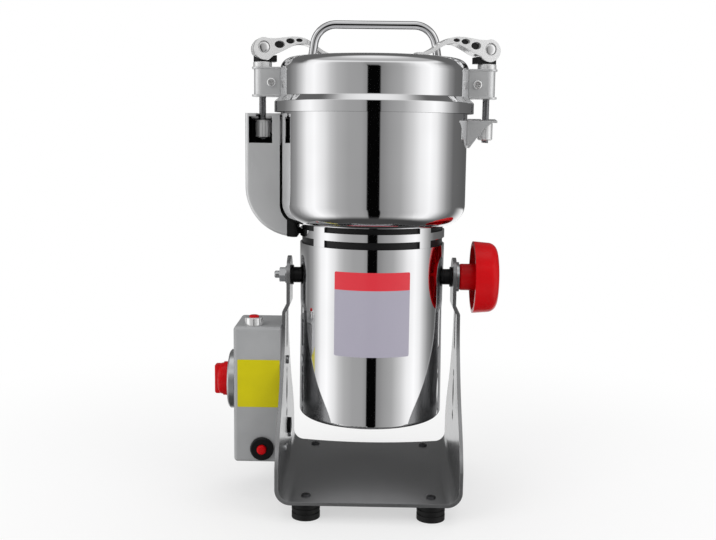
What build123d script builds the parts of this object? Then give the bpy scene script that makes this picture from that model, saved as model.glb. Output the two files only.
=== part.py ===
from build123d import *
import os
from math import cos, radians, sin

# Electric grain mill. Sizes are in millimetres. Heights count from the floor under the feet,
# X and Y from the upright axis of the mill, and the front is at -Y.

# Fits
RUN = 0.06               # radial clearance of what turns or slides in a hole
SLIP = 0.1               # gap between neighbours that are fastened together
AIR = 0.3                # gap between pieces that move past one another

# Stand, bent from one sheet
SHEET = 2.8
FOOT_HEIGHT = 13.5
FOOT_R = 10.9
FOOT_IN = 23.0           # from an arm's outer face to the middle of a foot
FOOT_Y = 62.5
STAND_HALF_DEPTH = 76.0
STAND_BEND_R = 12.0
REAR_SAG = 7.0           # how far the rear edge of the plate curves in
WING_TOP = 41.0          # height up to which an arm keeps the full depth
PIVOT_Z = 178.2
HEAD_R = 15.5            # round end of an arm
NECK_HALF = 14.0         # half width of an arm below its head
JOGGLE = 3.4             # inward step of an arm's head
JOGGLE_DROP = 22.0       # from the pivot down to the step
WAIST = [(0.790, 0.197), (0.436, 0.412), (0.161, 0.654)]  # an arm's flank: shares of its way in and up
SLOT_DROP = 42.5         # from the pivot down to the arm's slot, hole, leaf and diamond
HOLE_DROP = 79.2
LEAF_DROP = 95.2
DIAMOND_DROP = 114.7
SCREW_R = 2.0            # screws of stand, box and brackets
SCREW_HOLE_R = 2.1

# Motor unit
MOTOR_R = 57.5
MOTOR_WALL = 1.2
MOTOR_RISE = 27.6        # from the pivot up to the top of the housing
MOTOR_HEIGHT = 138.5
MOTOR_ROUND = 3.0
BOSS_LENGTH = 7.2        # from the housing to an arm's head
BOSS_R = 6.3
PIVOT_STUD_R = 3.0
PIVOT_WASHER_R = 8.0
PIVOT_WASHER = 1.6
VENT_GAP = 15.2          # from the housing up to the bowl

# Bowl and lid
BOWL_R = 73.2
BOWL_WALL = 1.5
BOWL_ROUND = 16.0
BOWL_HEIGHT = 95.0
RIM_WIDTH = 2.4          # how far the machined rim stands out
RIM_HEIGHT = 6.0
LID_WALL = 1.2
LID_OVER = 0.4           # how far the lid's wall stands outside the bowl's
LID_RISE = 33.2          # from the bowl's rim to the top of the lid
LID_ROUND = 9.6
SKIRT_OVER = 2.4         # from the machined rim out to the skirt's outer face
SKIRT_DROP = 8.5         # from the bowl's rim down to the lower edge of the skirt
SHOULDER = 4.0           # height of the cone from the lid's wall to its skirt
HANDLE_R = 3.2
HANDLE_FOOT_X = 49.1
HANDLE_TOP_X = 45.0
HANDLE_RISE = 26.0       # from the lid's top to the middle of the bar
HANDLE_BEND = 17.0

# Clamps: a lever with a cam pulls a threaded rod, whose nut hooks under a bracket on the bowl
ROD_REACH = 14.5         # from the bowl's wall to the rod
ROD_R = 2.5
NUT_R = 5.8
NUT_HEIGHT = 13.8
ROD_TAIL = 1.9           # rod below the nut
HOOK_DROP = 14.6         # from the bowl's rim down to the hook plate's underside
HOOK_RAMP = 0.1          # rise of the hook plate towards its mouth, per unit of way
CLAMP_YAW = 16.0         # degrees by which a lever passes beside the handle
EAR_REACH = 20.3         # outer end of a clamp bracket, from the lid's wall
EAR_LIP = 1.5
EAR_HALF = 10.0
EAR_LOW = 3.2            # from the bowl's rim up to the bracket
EAR_HEIGHT = 22.7
EAR_SHEET = 1.5
WASHER_R = 7.3
WASHER_HEIGHT = 4.3
CAM_R = 9.8
CAM_FALL = 2.4           # how far the cam lets the rod down
CAM_TURN = 120.0         # degrees the lever turns for it
SADDLE_SHIFT = 0.6
SADDLE_BASE = 0.9
CROSS_R = 4.6            # pin through the lever that takes the rod
LEVER_HALF = 7.0
FORK_HALF = 2.9
POCKET_HALF = 3.6        # from a lever's middle to the floor of its pockets

# Switch guard beside the bowl
GUARD_REACH = 26.5
GUARD_HALF = 16.0
GUARD_SHEET = 1.5
GUARD_TOP_DROP = 9.7     # from the bowl's rim
GUARD_ROUND = 39.2
GUARD_DUCT = 10.7        # height of the duct under the bowl
GUARD_GAP = 1.2          # seam between the guard's front wall and the bowl
DUCT_BUSH = 9.5          # from the motor's wall to the end of the duct, closed by a bush

# Switch box on the left arm
BOX_DEPTH = 37.5
BOX_HALF = 26.0
BOX_LOW = 29.3
BOX_HEIGHT = 110.7
BOX_WALL = 1.5
BOX_ROUND = 3.0
BOX_SCREWS = [(-20, 40), (20, 40), (0, 108)]  # across and up
TIMER_DROP = 48.5        # from the top of the box to the dial's middle
DIAL_R = 24.0
DIAL_THICK = 5.8
TIMER_KNOB_R = 13.8
TIMER_KNOB_LENGTH = 13.0
SPINDLE_R = 3.0
RESET_X_IN = 14.8        # from the arm to the reset button
RESET_RISE = 11.7        # from the floor of the box
POWER_X_IN = 22.0
POWER_Y = -16.0
POWER_BARREL = 8.0       # height of the switch's barrel over the box
BUTTON_R = 3.9
GROMMET_Y = 12.0
GROMMET_RISE = 19.7      # from the floor of the box

# Lock knob
HUB_R = 10.7
HUB_ROUND = 2.0
HUB_LENGTH = 11.0
CAP_R = 28.9
CAP_LENGTH = 19.1
CAP_WALL = 3.0
CAP_DRAFT = 1.6          # how much narrower the cap is at its outer end
CAP_ROUND = 7.5
STUD_R = 4.0
LOCK_WASHER = 2.6
LOCK_WASHER_R = 12.0

# Motor internals
SHAFT_R = 5.0
BEARING_R = 15.0
BEARING_WIDTH = 9.0
STATOR_IN = 9.5          # from the housing's outer face in to the stator
YOKE = 12.0              # thickness of the stator's ring
POLE = 11.0              # from the stator's ring in to its bore
COIL = 8.0
BRUSH_ROOM = 35.0        # from the lower bracket up to the stator
FAN_ROOM = 32.3          # from the stator up to the upper bracket
COMMUTATOR_R = 14.0
FAN_IN = 16.5            # from the housing's outer face in to the fan
BLADE_REACH = 62.0

# Worked out
PLATE_TOP = FOOT_HEIGHT + SHEET
HEAD_IN = MOTOR_R + BOSS_LENGTH
HEAD_OUT = HEAD_IN + SHEET
ARM_OUT = HEAD_OUT + JOGGLE
FOOT_X = ARM_OUT - FOOT_IN
MOTOR_TOP = PIVOT_Z + MOTOR_RISE
MOTOR_LOW = MOTOR_TOP - MOTOR_HEIGHT
LOWER_PLATE = MOTOR_LOW + 13.0
UPPER_PLATE = MOTOR_TOP - 13.5
BRUSH_Z = LOWER_PLATE + 20.0
STATOR_R = MOTOR_R - STATOR_IN
STATOR_BORE = STATOR_R - YOKE - POLE
STATOR_LOW = LOWER_PLATE + BRUSH_ROOM
STATOR_HIGH = UPPER_PLATE - FAN_ROOM
POLE_HALF_GAP = 0.375 * STATOR_R
FAN_R = MOTOR_R - FAN_IN
BOWL_LOW = MOTOR_TOP + VENT_GAP
RIM_TOP = BOWL_LOW + BOWL_HEIGHT
RIM_R = BOWL_R + RIM_WIDTH
LID_R = BOWL_R + LID_OVER
SKIRT_R = RIM_R + SKIRT_OVER
LID_TOP = RIM_TOP + LID_RISE
SKIRT_LOW = RIM_TOP - SKIRT_DROP
SHOULDER_TOP = RIM_TOP + SHOULDER
SHOULDER_LOW = SHOULDER_TOP - (SKIRT_R - LID_R)
SWEEP_Z = BOWL_LOW + 5.5
BLADE_1 = SWEEP_Z + 13.5
BLADE_2 = SWEEP_Z + 28.5
STACK_TOP = BLADE_2 + 2.5
ROD_X = BOWL_R + ROD_REACH
HOOK_Z = RIM_TOP - HOOK_DROP
NUT_TOP = HOOK_Z - 2 * SLIP
NUT_LOW = NUT_TOP - NUT_HEIGHT
EAR_Z = RIM_TOP + EAR_LOW
EAR_TOP = EAR_Z + EAR_HEIGHT
WASHER_TOP = EAR_TOP + WASHER_HEIGHT
SADDLE_R = CAM_R + AIR
CROSS_Z = WASHER_TOP + SADDLE_BASE + SADDLE_R
EAR_SCREW_X = LID_R + 6.2
EAR_SCREW_Z = EAR_Z + EAR_HEIGHT / 2 - 0.6
DUCT_END = MOTOR_R + DUCT_BUSH
DUCT_LOW = BOWL_LOW - GUARD_DUCT
BOX_OUT = ARM_OUT + BOX_DEPTH
BOX_TOP = BOX_LOW + BOX_HEIGHT
TIMER_Z = BOX_TOP - TIMER_DROP
RESET_X = -ARM_OUT - RESET_X_IN
RESET_Z = BOX_LOW + RESET_RISE
POWER_X = -ARM_OUT - POWER_X_IN
GROMMET_Z = BOX_LOW + GROMMET_RISE
CAP_REACH = ARM_OUT - JOGGLE + LOCK_WASHER + HUB_LENGTH + CAP_LENGTH
KNOB_REACH = BOX_OUT + DIAL_THICK + TIMER_KNOB_LENGTH
AXIS_X = (KNOB_REACH - CAP_REACH) / 2
RISING = (Align.CENTER, Align.CENTER, Align.MIN)


def post(radius, low, high, x=0.0, y=0.0):
    """Upright cylinder between two heights."""
    return Pos(x, y, low) * Cylinder(radius, high - low, align=RISING)


def ring(outer, inner, low, high):
    """Upright tube about the mill's axis."""
    return post(outer, low, high) - post(inner, low - 1, high + 1)


def along_x(radius, start, end, y=0.0, z=0.0):
    """Cylinder that runs in X."""
    return Pos(min(start, end), y, z) * Rot(0, 90, 0) * Cylinder(radius, abs(end - start), align=RISING)


def along_y(radius, start, end, x=0.0, z=0.0):
    """Cylinder that runs in Y."""
    return Pos(x, max(start, end), z) * Rot(90, 0, 0) * Cylinder(radius, abs(end - start), align=RISING)


def block(x, y, z):
    """Box between three pairs of limits."""
    middle = Pos((x[0] + x[1]) / 2, (y[0] + y[1]) / 2, (z[0] + z[1]) / 2)
    return middle * Box(x[1] - x[0], y[1] - y[0], z[1] - z[0])


def turned(points):
    """Closed outline of radius and height turned about the mill's axis."""
    return revolve(make_face(Plane.XZ * Polyline(*points, close=True)), Axis.Z)


def plate_of(points, half):
    """Plate with an outline in X and Z, of the same depth to the front and the rear."""
    return extrude(make_face(Plane.XZ * Polyline(*points, close=True)), half, both=True)


def cross_recess(reach, depth):
    """Cross that is cut into a screw's head, downwards from the origin."""
    bar = Pos(0, 0, -depth / 2) * Box(2 * reach, 0.9, depth)
    return bar + Rot(0, 0, 90) * bar


def sheet_of(points, radius, wall, side=Side.LEFT):
    """Face of even thickness on one side of a rounded line."""
    line = FilletPolyline(*points, radius=radius)
    return make_face(offset(line, amount=wall, side=side))


def spun_sheet(points, radius, wall, side=Side.LEFT):
    """Spun sheet: a rounded line of radius and height, thickened inwards and turned."""
    return revolve(Plane.XZ * sheet_of(points, radius, wall, side), Axis.Z)


def opposite(part):
    """The same piece half a turn round the mill's axis."""
    return Rot(0, 0, 180) * part


def pair(part):
    """A piece and its twin on the other side of the mill."""
    return Compound([part, opposite(part)])


def feet_places():
    """Plan position of each foot."""
    return [(x * FOOT_X, y * FOOT_Y) for x in (-1, 1) for y in (-1, 1)]


# ---------------------------------------------------------------- stand


def arm_outline():
    """Side outline of an arm: full depth at the plate, a waist, and a round head."""
    start = (STAND_HALF_DEPTH, WING_TOP)
    end = (NECK_HALF, PIVOT_Z - 1.5 * HEAD_R)
    narrow = STAND_HALF_DEPTH - NECK_HALF
    rise = end[1] - WING_TOP
    waist = [(NECK_HALF + out * narrow, WING_TOP + up * rise) for out, up in WAIST]
    flank = Spline(start, *waist, end, tangents=((-0.35, 1), (-0.05, 1)))
    half = Polyline(end, (NECK_HALF, PIVOT_Z), (0, PIVOT_Z), (0, 0), (STAND_HALF_DEPTH, 0), start)
    face = make_face(Curve() + [flank, half])
    return face + mirror(face, about=Plane.YZ) + Pos(0, PIVOT_Z) * Circle(HEAD_R)


def arm_ornament():
    """Pierced shapes of an arm: a slot, a hole, a leaf and a diamond."""
    slot = Pos(0, PIVOT_Z - SLOT_DROP) * Rot(0, 0, 90) * SlotOverall(34, 8)
    hole = Pos(0, PIVOT_Z - HOLE_DROP) * Circle(3)
    leaf_z = PIVOT_Z - LEAF_DROP
    leaf = Pos(15, leaf_z) * Circle(20) & Pos(-15, leaf_z) * Circle(20)
    diamond = Pos(0, PIVOT_Z - DIAMOND_DROP) * Rot(0, 0, 45) * Rectangle(7, 7)
    return slot + hole + leaf + diamond


def stand_frame():
    """Plate and two arms, bent from one sheet and cut to the side outline."""
    step = PIVOT_Z - JOGGLE_DROP
    corner = [(HEAD_OUT, PIVOT_Z + HEAD_R), (HEAD_OUT, step)]
    corner += [(ARM_OUT, step - 6), (ARM_OUT, FOOT_HEIGHT)]
    across = corner + [(-x, z) for x, z in reversed(corner)]
    radii = [4, 4, STAND_BEND_R, STAND_BEND_R, 4, 4]
    bent = extrude(Plane.XZ * sheet_of(across, radii, SHEET, Side.RIGHT), STAND_HALF_DEPTH, both=True)
    reach = ARM_OUT + 1
    frame = bent & extrude(Plane.YZ * arm_outline(), reach, both=True)
    frame -= extrude(Plane.YZ * arm_ornament(), reach, both=True)
    inner = ARM_OUT - STAND_BEND_R
    sweep = (inner**2 + REAR_SAG**2) / (2 * REAR_SAG)
    frame -= post(sweep, 0, PLATE_TOP + 1, y=STAND_HALF_DEPTH - REAR_SAG + sweep)
    for x, y in feet_places():
        frame -= post(SCREW_HOLE_R, 0, PLATE_TOP + 1, x, y)
    frame -= along_x(PIVOT_STUD_R + RUN, -reach, 0, z=PIVOT_Z)
    frame -= along_x(STUD_R + RUN, 0, reach, z=PIVOT_Z)
    frame -= along_x(4.5, -reach, 0, GROMMET_Y, GROMMET_Z)
    for y, z in BOX_SCREWS:
        frame -= along_x(SCREW_HOLE_R, -reach, 0, y, z)
    return frame


def rubber_feet():
    """Ribbed feet, hollow below for the nut of the screw."""
    waist = FOOT_R - 0.6
    outline = [(SCREW_HOLE_R, 4), (SCREW_HOLE_R, FOOT_HEIGHT), (waist, FOOT_HEIGHT)]
    outline += [(waist, 8.5), (FOOT_R, 8.5), (FOOT_R, 6.5), (waist, 6.5)]
    outline += [(waist, 4.5), (FOOT_R, 4.5), (FOOT_R, 0), (6, 0), (6, 4)]
    foot = turned(outline)
    return Compound([Pos(x, y, 0) * foot for x, y in feet_places()])


def foot_screws():
    """Pan head screws through plate and feet, each with its nut."""
    head = PLATE_TOP + 1.3
    screw = post(3.6, PLATE_TOP, head)
    screw = fillet(screw.edges().group_by(Axis.Z)[-1], 0.7)
    screw -= Pos(0, 0, head) * cross_recess(2.1, 0.7)
    screw += post(SCREW_R, 1.5, PLATE_TOP)
    screw += Pos(0, 0, 1.8) * extrude(RegularPolygon(4, 6), 2.1)
    return Compound([Pos(x, y, 0) * screw for x, y in feet_places()])


# ---------------------------------------------------------------- switch box


def box_shell():
    """Outer form of the cover, rounded on its free edges."""
    solid = block((-BOX_OUT, -ARM_OUT - SLIP), (-BOX_HALF, BOX_HALF), (BOX_LOW, BOX_TOP))
    mouth = solid.edges().group_by(Axis.X)[-1]
    free = [edge for edge in solid.edges() if edge not in mouth]
    return fillet(free, BOX_ROUND)


def switch_box_cover():
    """Folded cover, open towards the arm, pierced for what it carries."""
    wall = BOX_WALL
    inside = block(
        (-BOX_OUT + wall, 0),
        (-BOX_HALF + wall, BOX_HALF - wall),
        (BOX_LOW + wall, BOX_TOP - wall),
    )
    cover = box_shell() - inside
    cover -= along_x(SPINDLE_R + 3, -BOX_OUT - 1, -BOX_OUT + 5, 0, TIMER_Z)
    cover -= along_y(6.5, -BOX_HALF - 1, -BOX_HALF + 5, RESET_X, RESET_Z)
    cover -= post(6.0, BOX_TOP - 5, BOX_TOP + 1, POWER_X, POWER_Y)
    cover -= along_y(6.0, BOX_HALF - 5, BOX_HALF + 1, RESET_X, RESET_Z + 6)
    return cover


def switch_box_plate():
    """Back plate of the box with two folded flanges, on the arm."""
    gap = BOX_WALL + SLIP
    y = BOX_HALF - gap
    low = BOX_LOW + gap
    high = BOX_TOP - gap
    plate = block((-ARM_OUT - 1.6, -ARM_OUT), (-y, y), (low, high))
    for z in (low, high - 1.6):
        plate += block((-ARM_OUT - 8, -ARM_OUT), (-y + 4, y - 4), (z, z + 1.6))
    plate -= along_x(4.5, -ARM_OUT - 9, 0, GROMMET_Y, GROMMET_Z)
    for hole_y, hole_z in BOX_SCREWS:
        plate -= along_x(SCREW_HOLE_R, -ARM_OUT - 9, 0, hole_y, hole_z)
    return plate


def box_screws():
    """Screws from the inside of the arm into the box's back plate, each with its nut."""
    inner = -ARM_OUT + SHEET
    screw = along_x(3.5, inner, inner + 2)
    screw = fillet(screw.edges().group_by(Axis.X)[-1], 1.0)
    screw += along_x(SCREW_R, -ARM_OUT - 5, inner)
    screw += Pos(-ARM_OUT - 4.1, 0, 0) * Rot(0, 90, 0) * extrude(RegularPolygon(4, 6), 2.4)
    return Compound([Pos(0, y, z) * screw for y, z in BOX_SCREWS])


def timer_movement():
    """Clockwork case behind the dial, with the bush of its spindle."""
    wall = -BOX_OUT + BOX_WALL
    case = block((wall + SLIP, wall + 20), (-18, 18), (TIMER_Z - 18, TIMER_Z + 18))
    case = fillet(case.edges().filter_by(Axis.X), 5)
    case += along_x(SPINDLE_R + 2.5, -BOX_OUT - 2, wall + 1, 0, TIMER_Z)
    return case - along_x(SPINDLE_R + RUN, -BOX_OUT - 3, wall + 8, 0, TIMER_Z)


def timer_dial():
    """Round dial plate with a raised edge on the box's left face."""
    face = -BOX_OUT - DIAL_THICK
    dial = along_x(DIAL_R, face, -BOX_OUT - SLIP, 0, TIMER_Z)
    dial = chamfer(dial.edges().group_by(Axis.X)[0], 1.2)
    dial -= along_x(DIAL_R - 3, face - 1, face + 0.8, 0, TIMER_Z)
    return dial - along_x(SPINDLE_R + 3, face - 1, 0, 0, TIMER_Z)


def timer_spindle():
    """Spindle from the movement into the timer knob."""
    return along_x(SPINDLE_R, -KNOB_REACH + 4, -BOX_OUT + BOX_WALL + 7, 0, TIMER_Z)


def timer_knob():
    """Domed timer knob with a grip ridge across it."""
    base = -BOX_OUT - DIAL_THICK - AIR
    skirt = along_x(TIMER_KNOB_R, base - 5, base, 0, TIMER_Z)
    dome = along_x(TIMER_KNOB_R - 1, base - 9, base - 5, 0, TIMER_Z)
    dome = fillet(dome.edges().group_by(Axis.X)[0], 3)
    grip = block((-KNOB_REACH, base - 4), (-3, 3), (TIMER_Z - 12, TIMER_Z + 12))
    grip = fillet(grip.edges().group_by(Axis.X)[0], 2)
    knob = skirt + dome + grip
    return knob - along_x(SPINDLE_R + SLIP / 2, -KNOB_REACH + 4, 0, 0, TIMER_Z)


def power_switch():
    """Push switch through the top of the box: barrel, neck and body with the button's bore."""
    top = BOX_TOP + POWER_BARREL
    switch = post(7.3, BOX_TOP + SLIP, top, POWER_X, POWER_Y)
    switch = fillet(switch.edges().group_by(Axis.Z)[-1], 0.8)
    switch += post(5.9, BOX_TOP - 3, BOX_TOP + 1, POWER_X, POWER_Y)
    switch += post(7.0, BOX_TOP - 22, BOX_TOP - BOX_WALL - SLIP, POWER_X, POWER_Y)
    return switch - post(BUTTON_R + RUN, BOX_TOP - 14, top + 1, POWER_X, POWER_Y)


def power_button():
    """Round button of the power switch."""
    button = post(BUTTON_R, BOX_TOP - 10, BOX_TOP + POWER_BARREL + 2.8, POWER_X, POWER_Y)
    return fillet(button.edges().group_by(Axis.Z)[-1], 1.2)


def overload_breaker():
    """Thermal breaker behind the reset button, with the button's bore."""
    inside = -BOX_HALF + BOX_WALL + SLIP
    breaker = block((RESET_X - 8, RESET_X + 8), (inside, inside + 24), (RESET_Z - 6.5, RESET_Z + 8))
    breaker += along_y(6.4, -BOX_HALF - 1, inside + 1, RESET_X, RESET_Z)
    return breaker - along_y(BUTTON_R + RUN, -BOX_HALF - 2, inside + 9, RESET_X, RESET_Z)


def reset_bezel():
    """Collar round the reset button."""
    bezel = along_y(9.4, -BOX_HALF - 3, -BOX_HALF - SLIP, RESET_X, RESET_Z)
    bezel = chamfer(bezel.edges().group_by(Axis.Y)[0], 1)
    bezel -= along_y(6.5, -BOX_HALF - 1.1, -BOX_HALF, RESET_X, RESET_Z)
    return bezel - along_y(BUTTON_R + RUN, -BOX_HALF - 9, 0, RESET_X, RESET_Z)


def reset_button():
    """Domed reset button."""
    button = along_y(BUTTON_R, -BOX_HALF - 6, -BOX_HALF + 7, RESET_X, RESET_Z)
    return fillet(button.edges().group_by(Axis.Y)[0], 2)


def cord_gland():
    """Strain relief bush in the rear wall of the box."""
    rear = BOX_HALF
    gland = along_y(5.9, rear - 4, rear + 1, RESET_X, RESET_Z + 6)
    gland += along_y(8, rear + SLIP, rear + 3, RESET_X, RESET_Z + 6)
    gland += along_y(8, rear - BOX_WALL - 3, rear - BOX_WALL - SLIP, RESET_X, RESET_Z + 6)
    tail = Pos(RESET_X, rear + 3, RESET_Z + 6) * Rot(-90, 0, 0) * Cone(6.5, 5, 10, align=RISING)
    return gland + tail - along_y(3, rear - 6, rear + 15, RESET_X, RESET_Z + 6)


def arm_grommet():
    """Rubber grommet where the motor's lead passes the arm."""
    inner = -ARM_OUT + SHEET
    grommet = along_x(4.4, -ARM_OUT - 1.5, inner + 1, GROMMET_Y, GROMMET_Z)
    grommet += along_x(6.5, inner + SLIP, inner + 2.5, GROMMET_Y, GROMMET_Z)
    return grommet - along_x(2.5, -ARM_OUT - 3, 0, GROMMET_Y, GROMMET_Z)


# ---------------------------------------------------------------- tilt pivot


def pivot_bosses():
    """Threaded bosses on the motor housing, one for the stud and one for the lock knob."""
    reach = HEAD_IN - AIR - PIVOT_WASHER
    left = along_x(BOSS_R, -reach, 0, z=PIVOT_Z)
    left -= along_x(PIVOT_STUD_R + RUN, -HEAD_IN, 0, z=PIVOT_Z)
    right = along_x(BOSS_R, 0, reach, z=PIVOT_Z)
    right -= along_x(STUD_R + RUN, 0, HEAD_IN, z=PIVOT_Z)
    core = post(MOTOR_R + SLIP / 2, PIVOT_Z - 20, PIVOT_Z + 20)
    return Compound([left - core, right - core])


def pivot_washers():
    """Friction washers between bosses and arms."""
    face = HEAD_IN - AIR
    left = along_x(PIVOT_WASHER_R, -face, -face + PIVOT_WASHER, z=PIVOT_Z)
    left -= along_x(PIVOT_STUD_R + 0.2, -HEAD_IN, 0, z=PIVOT_Z)
    right = along_x(PIVOT_WASHER_R, face - PIVOT_WASHER, face, z=PIVOT_Z)
    right -= along_x(STUD_R + 0.2, 0, HEAD_IN, z=PIVOT_Z)
    return Compound([left, right])


def left_pivot_bolt():
    """Stud of the left pivot, from the housing out through the arm."""
    stud = along_x(PIVOT_STUD_R, -HEAD_OUT - 10.7, -MOTOR_R + MOTOR_WALL + 3, z=PIVOT_Z)
    return chamfer(stud.edges().group_by(Axis.X)[0], 0.8)


def left_pivot_nut():
    """Hexagon nut and its washer on the left stud."""
    face = -HEAD_OUT - AIR
    nut = along_x(7, face - 1.4, face, z=PIVOT_Z)
    hexagon = Rot(0, 0, 30) * RegularPolygon(6.2, 6)
    nut += Pos(face - 6.2, 0, PIVOT_Z) * Rot(0, 90, 0) * extrude(hexagon, 4.9)
    return nut - along_x(PIVOT_STUD_R + SLIP / 2, -HEAD_OUT - 12, 0, z=PIVOT_Z)


def lock_knob_washer():
    """Washer under the hub of the lock knob."""
    face = HEAD_OUT + SLIP
    washer = along_x(LOCK_WASHER_R, face, face + LOCK_WASHER - AIR, z=PIVOT_Z)
    return washer - along_x(STUD_R + 0.2, 0, ARM_OUT + 9, z=PIVOT_Z)


def lock_knob():
    """Hub, hollow cup cap and threaded stud that clamp the tilt."""
    hub = HEAD_OUT + LOCK_WASHER
    cap = hub + HUB_LENGTH
    reach = cap + CAP_LENGTH
    line = [(cap, CAP_R), (reach, CAP_R - CAP_DRAFT), (reach, 0)]
    cup = revolve(sheet_of(line, CAP_ROUND, CAP_WALL, Side.RIGHT), Axis.X)
    middle = along_x(HUB_R, hub, reach - 1)
    body = cup + fillet(middle.edges().group_by(Axis.X)[0], HUB_ROUND)
    rib_end = CAP_R - CAP_DRAFT - CAP_WALL + 1
    for angle in range(0, 360, 60):
        body += Rot(angle, 0, 0) * block((cap + 6, reach - CAP_WALL), (0, rib_end), (-1.2, 1.2))
    body += along_x(STUD_R, MOTOR_R + 0.5, hub + 4)
    return Pos(0, 0, PIVOT_Z) * body


# ---------------------------------------------------------------- motor unit


def motor_housing():
    """Polished can of the motor with vents in its floor."""
    line = [(0, MOTOR_LOW), (MOTOR_R, MOTOR_LOW), (MOTOR_R, MOTOR_TOP)]
    can = spun_sheet(line, MOTOR_ROUND, MOTOR_WALL)
    vent = Pos(30, 0, MOTOR_LOW - 1) * extrude(SlotOverall(18, 5), 5)
    for angle in range(0, 360, 30):
        can -= Rot(0, 0, angle) * vent
    can -= along_x(PIVOT_STUD_R + SLIP, -HEAD_IN, 0, z=PIVOT_Z)
    return can - along_x(STUD_R + SLIP, 0, HEAD_IN, z=PIVOT_Z)


def vent_collar():
    """Ring on four posts between the housing and the bowl."""
    collar = ring(MOTOR_R, MOTOR_R - 1.4, MOTOR_TOP + SLIP / 2, BOWL_LOW - SLIP / 2)
    pillar = block((-MOTOR_R - 3, MOTOR_R + 3), (-6, 6), (MOTOR_TOP - 1, BOWL_LOW + 1))
    pillars = Rot(0, 0, 45) * pillar + Rot(0, 0, -45) * pillar
    for low, high in ((MOTOR_TOP - 1, BOWL_LOW - 9.7), (BOWL_LOW - 3.8, BOWL_LOW + 1)):
        collar -= ring(MOTOR_R + 2, MOTOR_R - 3, low, high) - pillars
    return collar


def motor_sleeve():
    """Inner sleeve behind the vents with the flange that carries the bowl."""
    outer = MOTOR_R - MOTOR_WALL - 0.4
    top = BOWL_LOW - SLIP
    low = UPPER_PLATE + 3 + SLIP
    profile = [(outer - 1.5, low), (outer, low), (outer, top)]
    profile += [(20, top), (20, top - 2), (outer - 1.5, top - 2)]
    return turned(profile)


def bearing_bracket(low):
    """Disc with a bearing cup above it and four slots between its legs."""
    bracket = post(MOTOR_R - MOTOR_WALL - SLIP, low, low + 3) + post(BEARING_R + 3, low, low + 13)
    start = BEARING_R + 8
    end = STATOR_R - 1
    slot = Pos((start + end) / 2, 0, low - 1) * extrude(SlotOverall(end - start, 14), 5)
    for angle in range(0, 360, 90):
        bracket -= Rot(0, 0, angle) * slot
    return bracket


def bearing_seat(low):
    """Bore of a bracket's cup and the hole for the shaft below it."""
    return post(BEARING_R, low + 3, low + 14) + post(SHAFT_R + 3, low - 1, low + 5)


def legs(inner, low, high):
    """Four legs between a bracket and the stator."""
    leg = block((inner, STATOR_R), (-6, 6), (low, high))
    return [Rot(0, 0, angle) * leg for angle in range(45, 360, 90)]


def bearing_brackets():
    """Lower bracket with the brush holders and upper bracket; their legs hold the stator."""
    lower = bearing_bracket(LOWER_PLATE)
    for leg in legs(STATOR_R - 6, LOWER_PLATE + 2, STATOR_LOW - SLIP / 2):
        lower += leg
    holder = block((COMMUTATOR_R + 10, STATOR_R - 6), (-7, 7), (LOWER_PLATE, BRUSH_Z + 6))
    tunnel = block((COMMUTATOR_R + 9, STATOR_R - 5), (-4, 4), (BRUSH_Z - 5, BRUSH_Z + 5))
    for turn in (0, 180):
        lower += Rot(0, 0, turn) * holder
        lower -= Rot(0, 0, turn) * tunnel
    upper = bearing_bracket(UPPER_PLATE)
    for leg in legs(STATOR_R - 5, STATOR_HIGH + SLIP / 2, UPPER_PLATE + 1):
        upper += leg
    return Compound([lower - bearing_seat(LOWER_PLATE), upper - bearing_seat(UPPER_PLATE)])


def motor_bearings():
    """Ball bearings of the shaft, each as a ring with its shields."""
    outline = [(SHAFT_R + RUN, 0), (7.5, 0), (7.5, 0.6), (BEARING_R - 3, 0.6), (BEARING_R - 3, 0)]
    outline += [(BEARING_R - SLIP / 2, 0)]
    upper = [(r, BEARING_WIDTH - z) for r, z in reversed(outline)]
    bearing = turned(outline + upper)
    places = (LOWER_PLATE + 3, UPPER_PLATE + 3)
    return Compound([Pos(0, 0, z + SLIP / 2) * bearing for z in places])


def stator_core():
    """Laminated stator ring with two poles."""
    yoke_r = STATOR_R - YOKE
    core = ring(STATOR_R, yoke_r, STATOR_LOW, STATOR_HIGH)
    poles = ring(yoke_r + 1, STATOR_BORE, STATOR_LOW, STATOR_HIGH)
    gap = (-POLE_HALF_GAP, POLE_HALF_GAP)
    slot = block(gap, (0, MOTOR_R), (STATOR_LOW - 1, STATOR_HIGH + 1))
    return core + (poles - slot - opposite(slot))


def field_coils():
    """Two saddle coils round the poles."""
    end = 7.5
    outer = STATOR_R - YOKE - 0.5
    heights = (STATOR_LOW - end, STATOR_HIGH + end)
    band = ring(outer, outer - COIL, *heights)
    band &= block((0.8, MOTOR_R), (-MOTOR_R, MOTOR_R), heights)
    window = (STATOR_LOW - 0.6, STATOR_HIGH + 0.6)
    return pair(band - block((POLE_HALF_GAP - 0.6, MOTOR_R), (-MOTOR_R, MOTOR_R), window))


def carbon_brushes():
    """Carbon brushes on the commutator."""
    face = COMMUTATOR_R + AIR
    brush = block((face, STATOR_R - 8), (-3.9, 3.9), (BRUSH_Z - 4.9, BRUSH_Z + 4.9))
    return pair(brush - post(face, BRUSH_Z - 9, BRUSH_Z + 9))


def shaft_seal():
    """Lip seal in the floor of the bowl."""
    floor = BOWL_LOW + BOWL_WALL
    outline = [(SHAFT_R + RUN, BOWL_LOW), (11.9, BOWL_LOW), (11.9, floor + SLIP), (14, floor + SLIP)]
    outline += [(13, floor + 2.5), (SHAFT_R + RUN, floor + 2.5)]
    return turned(outline)


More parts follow.
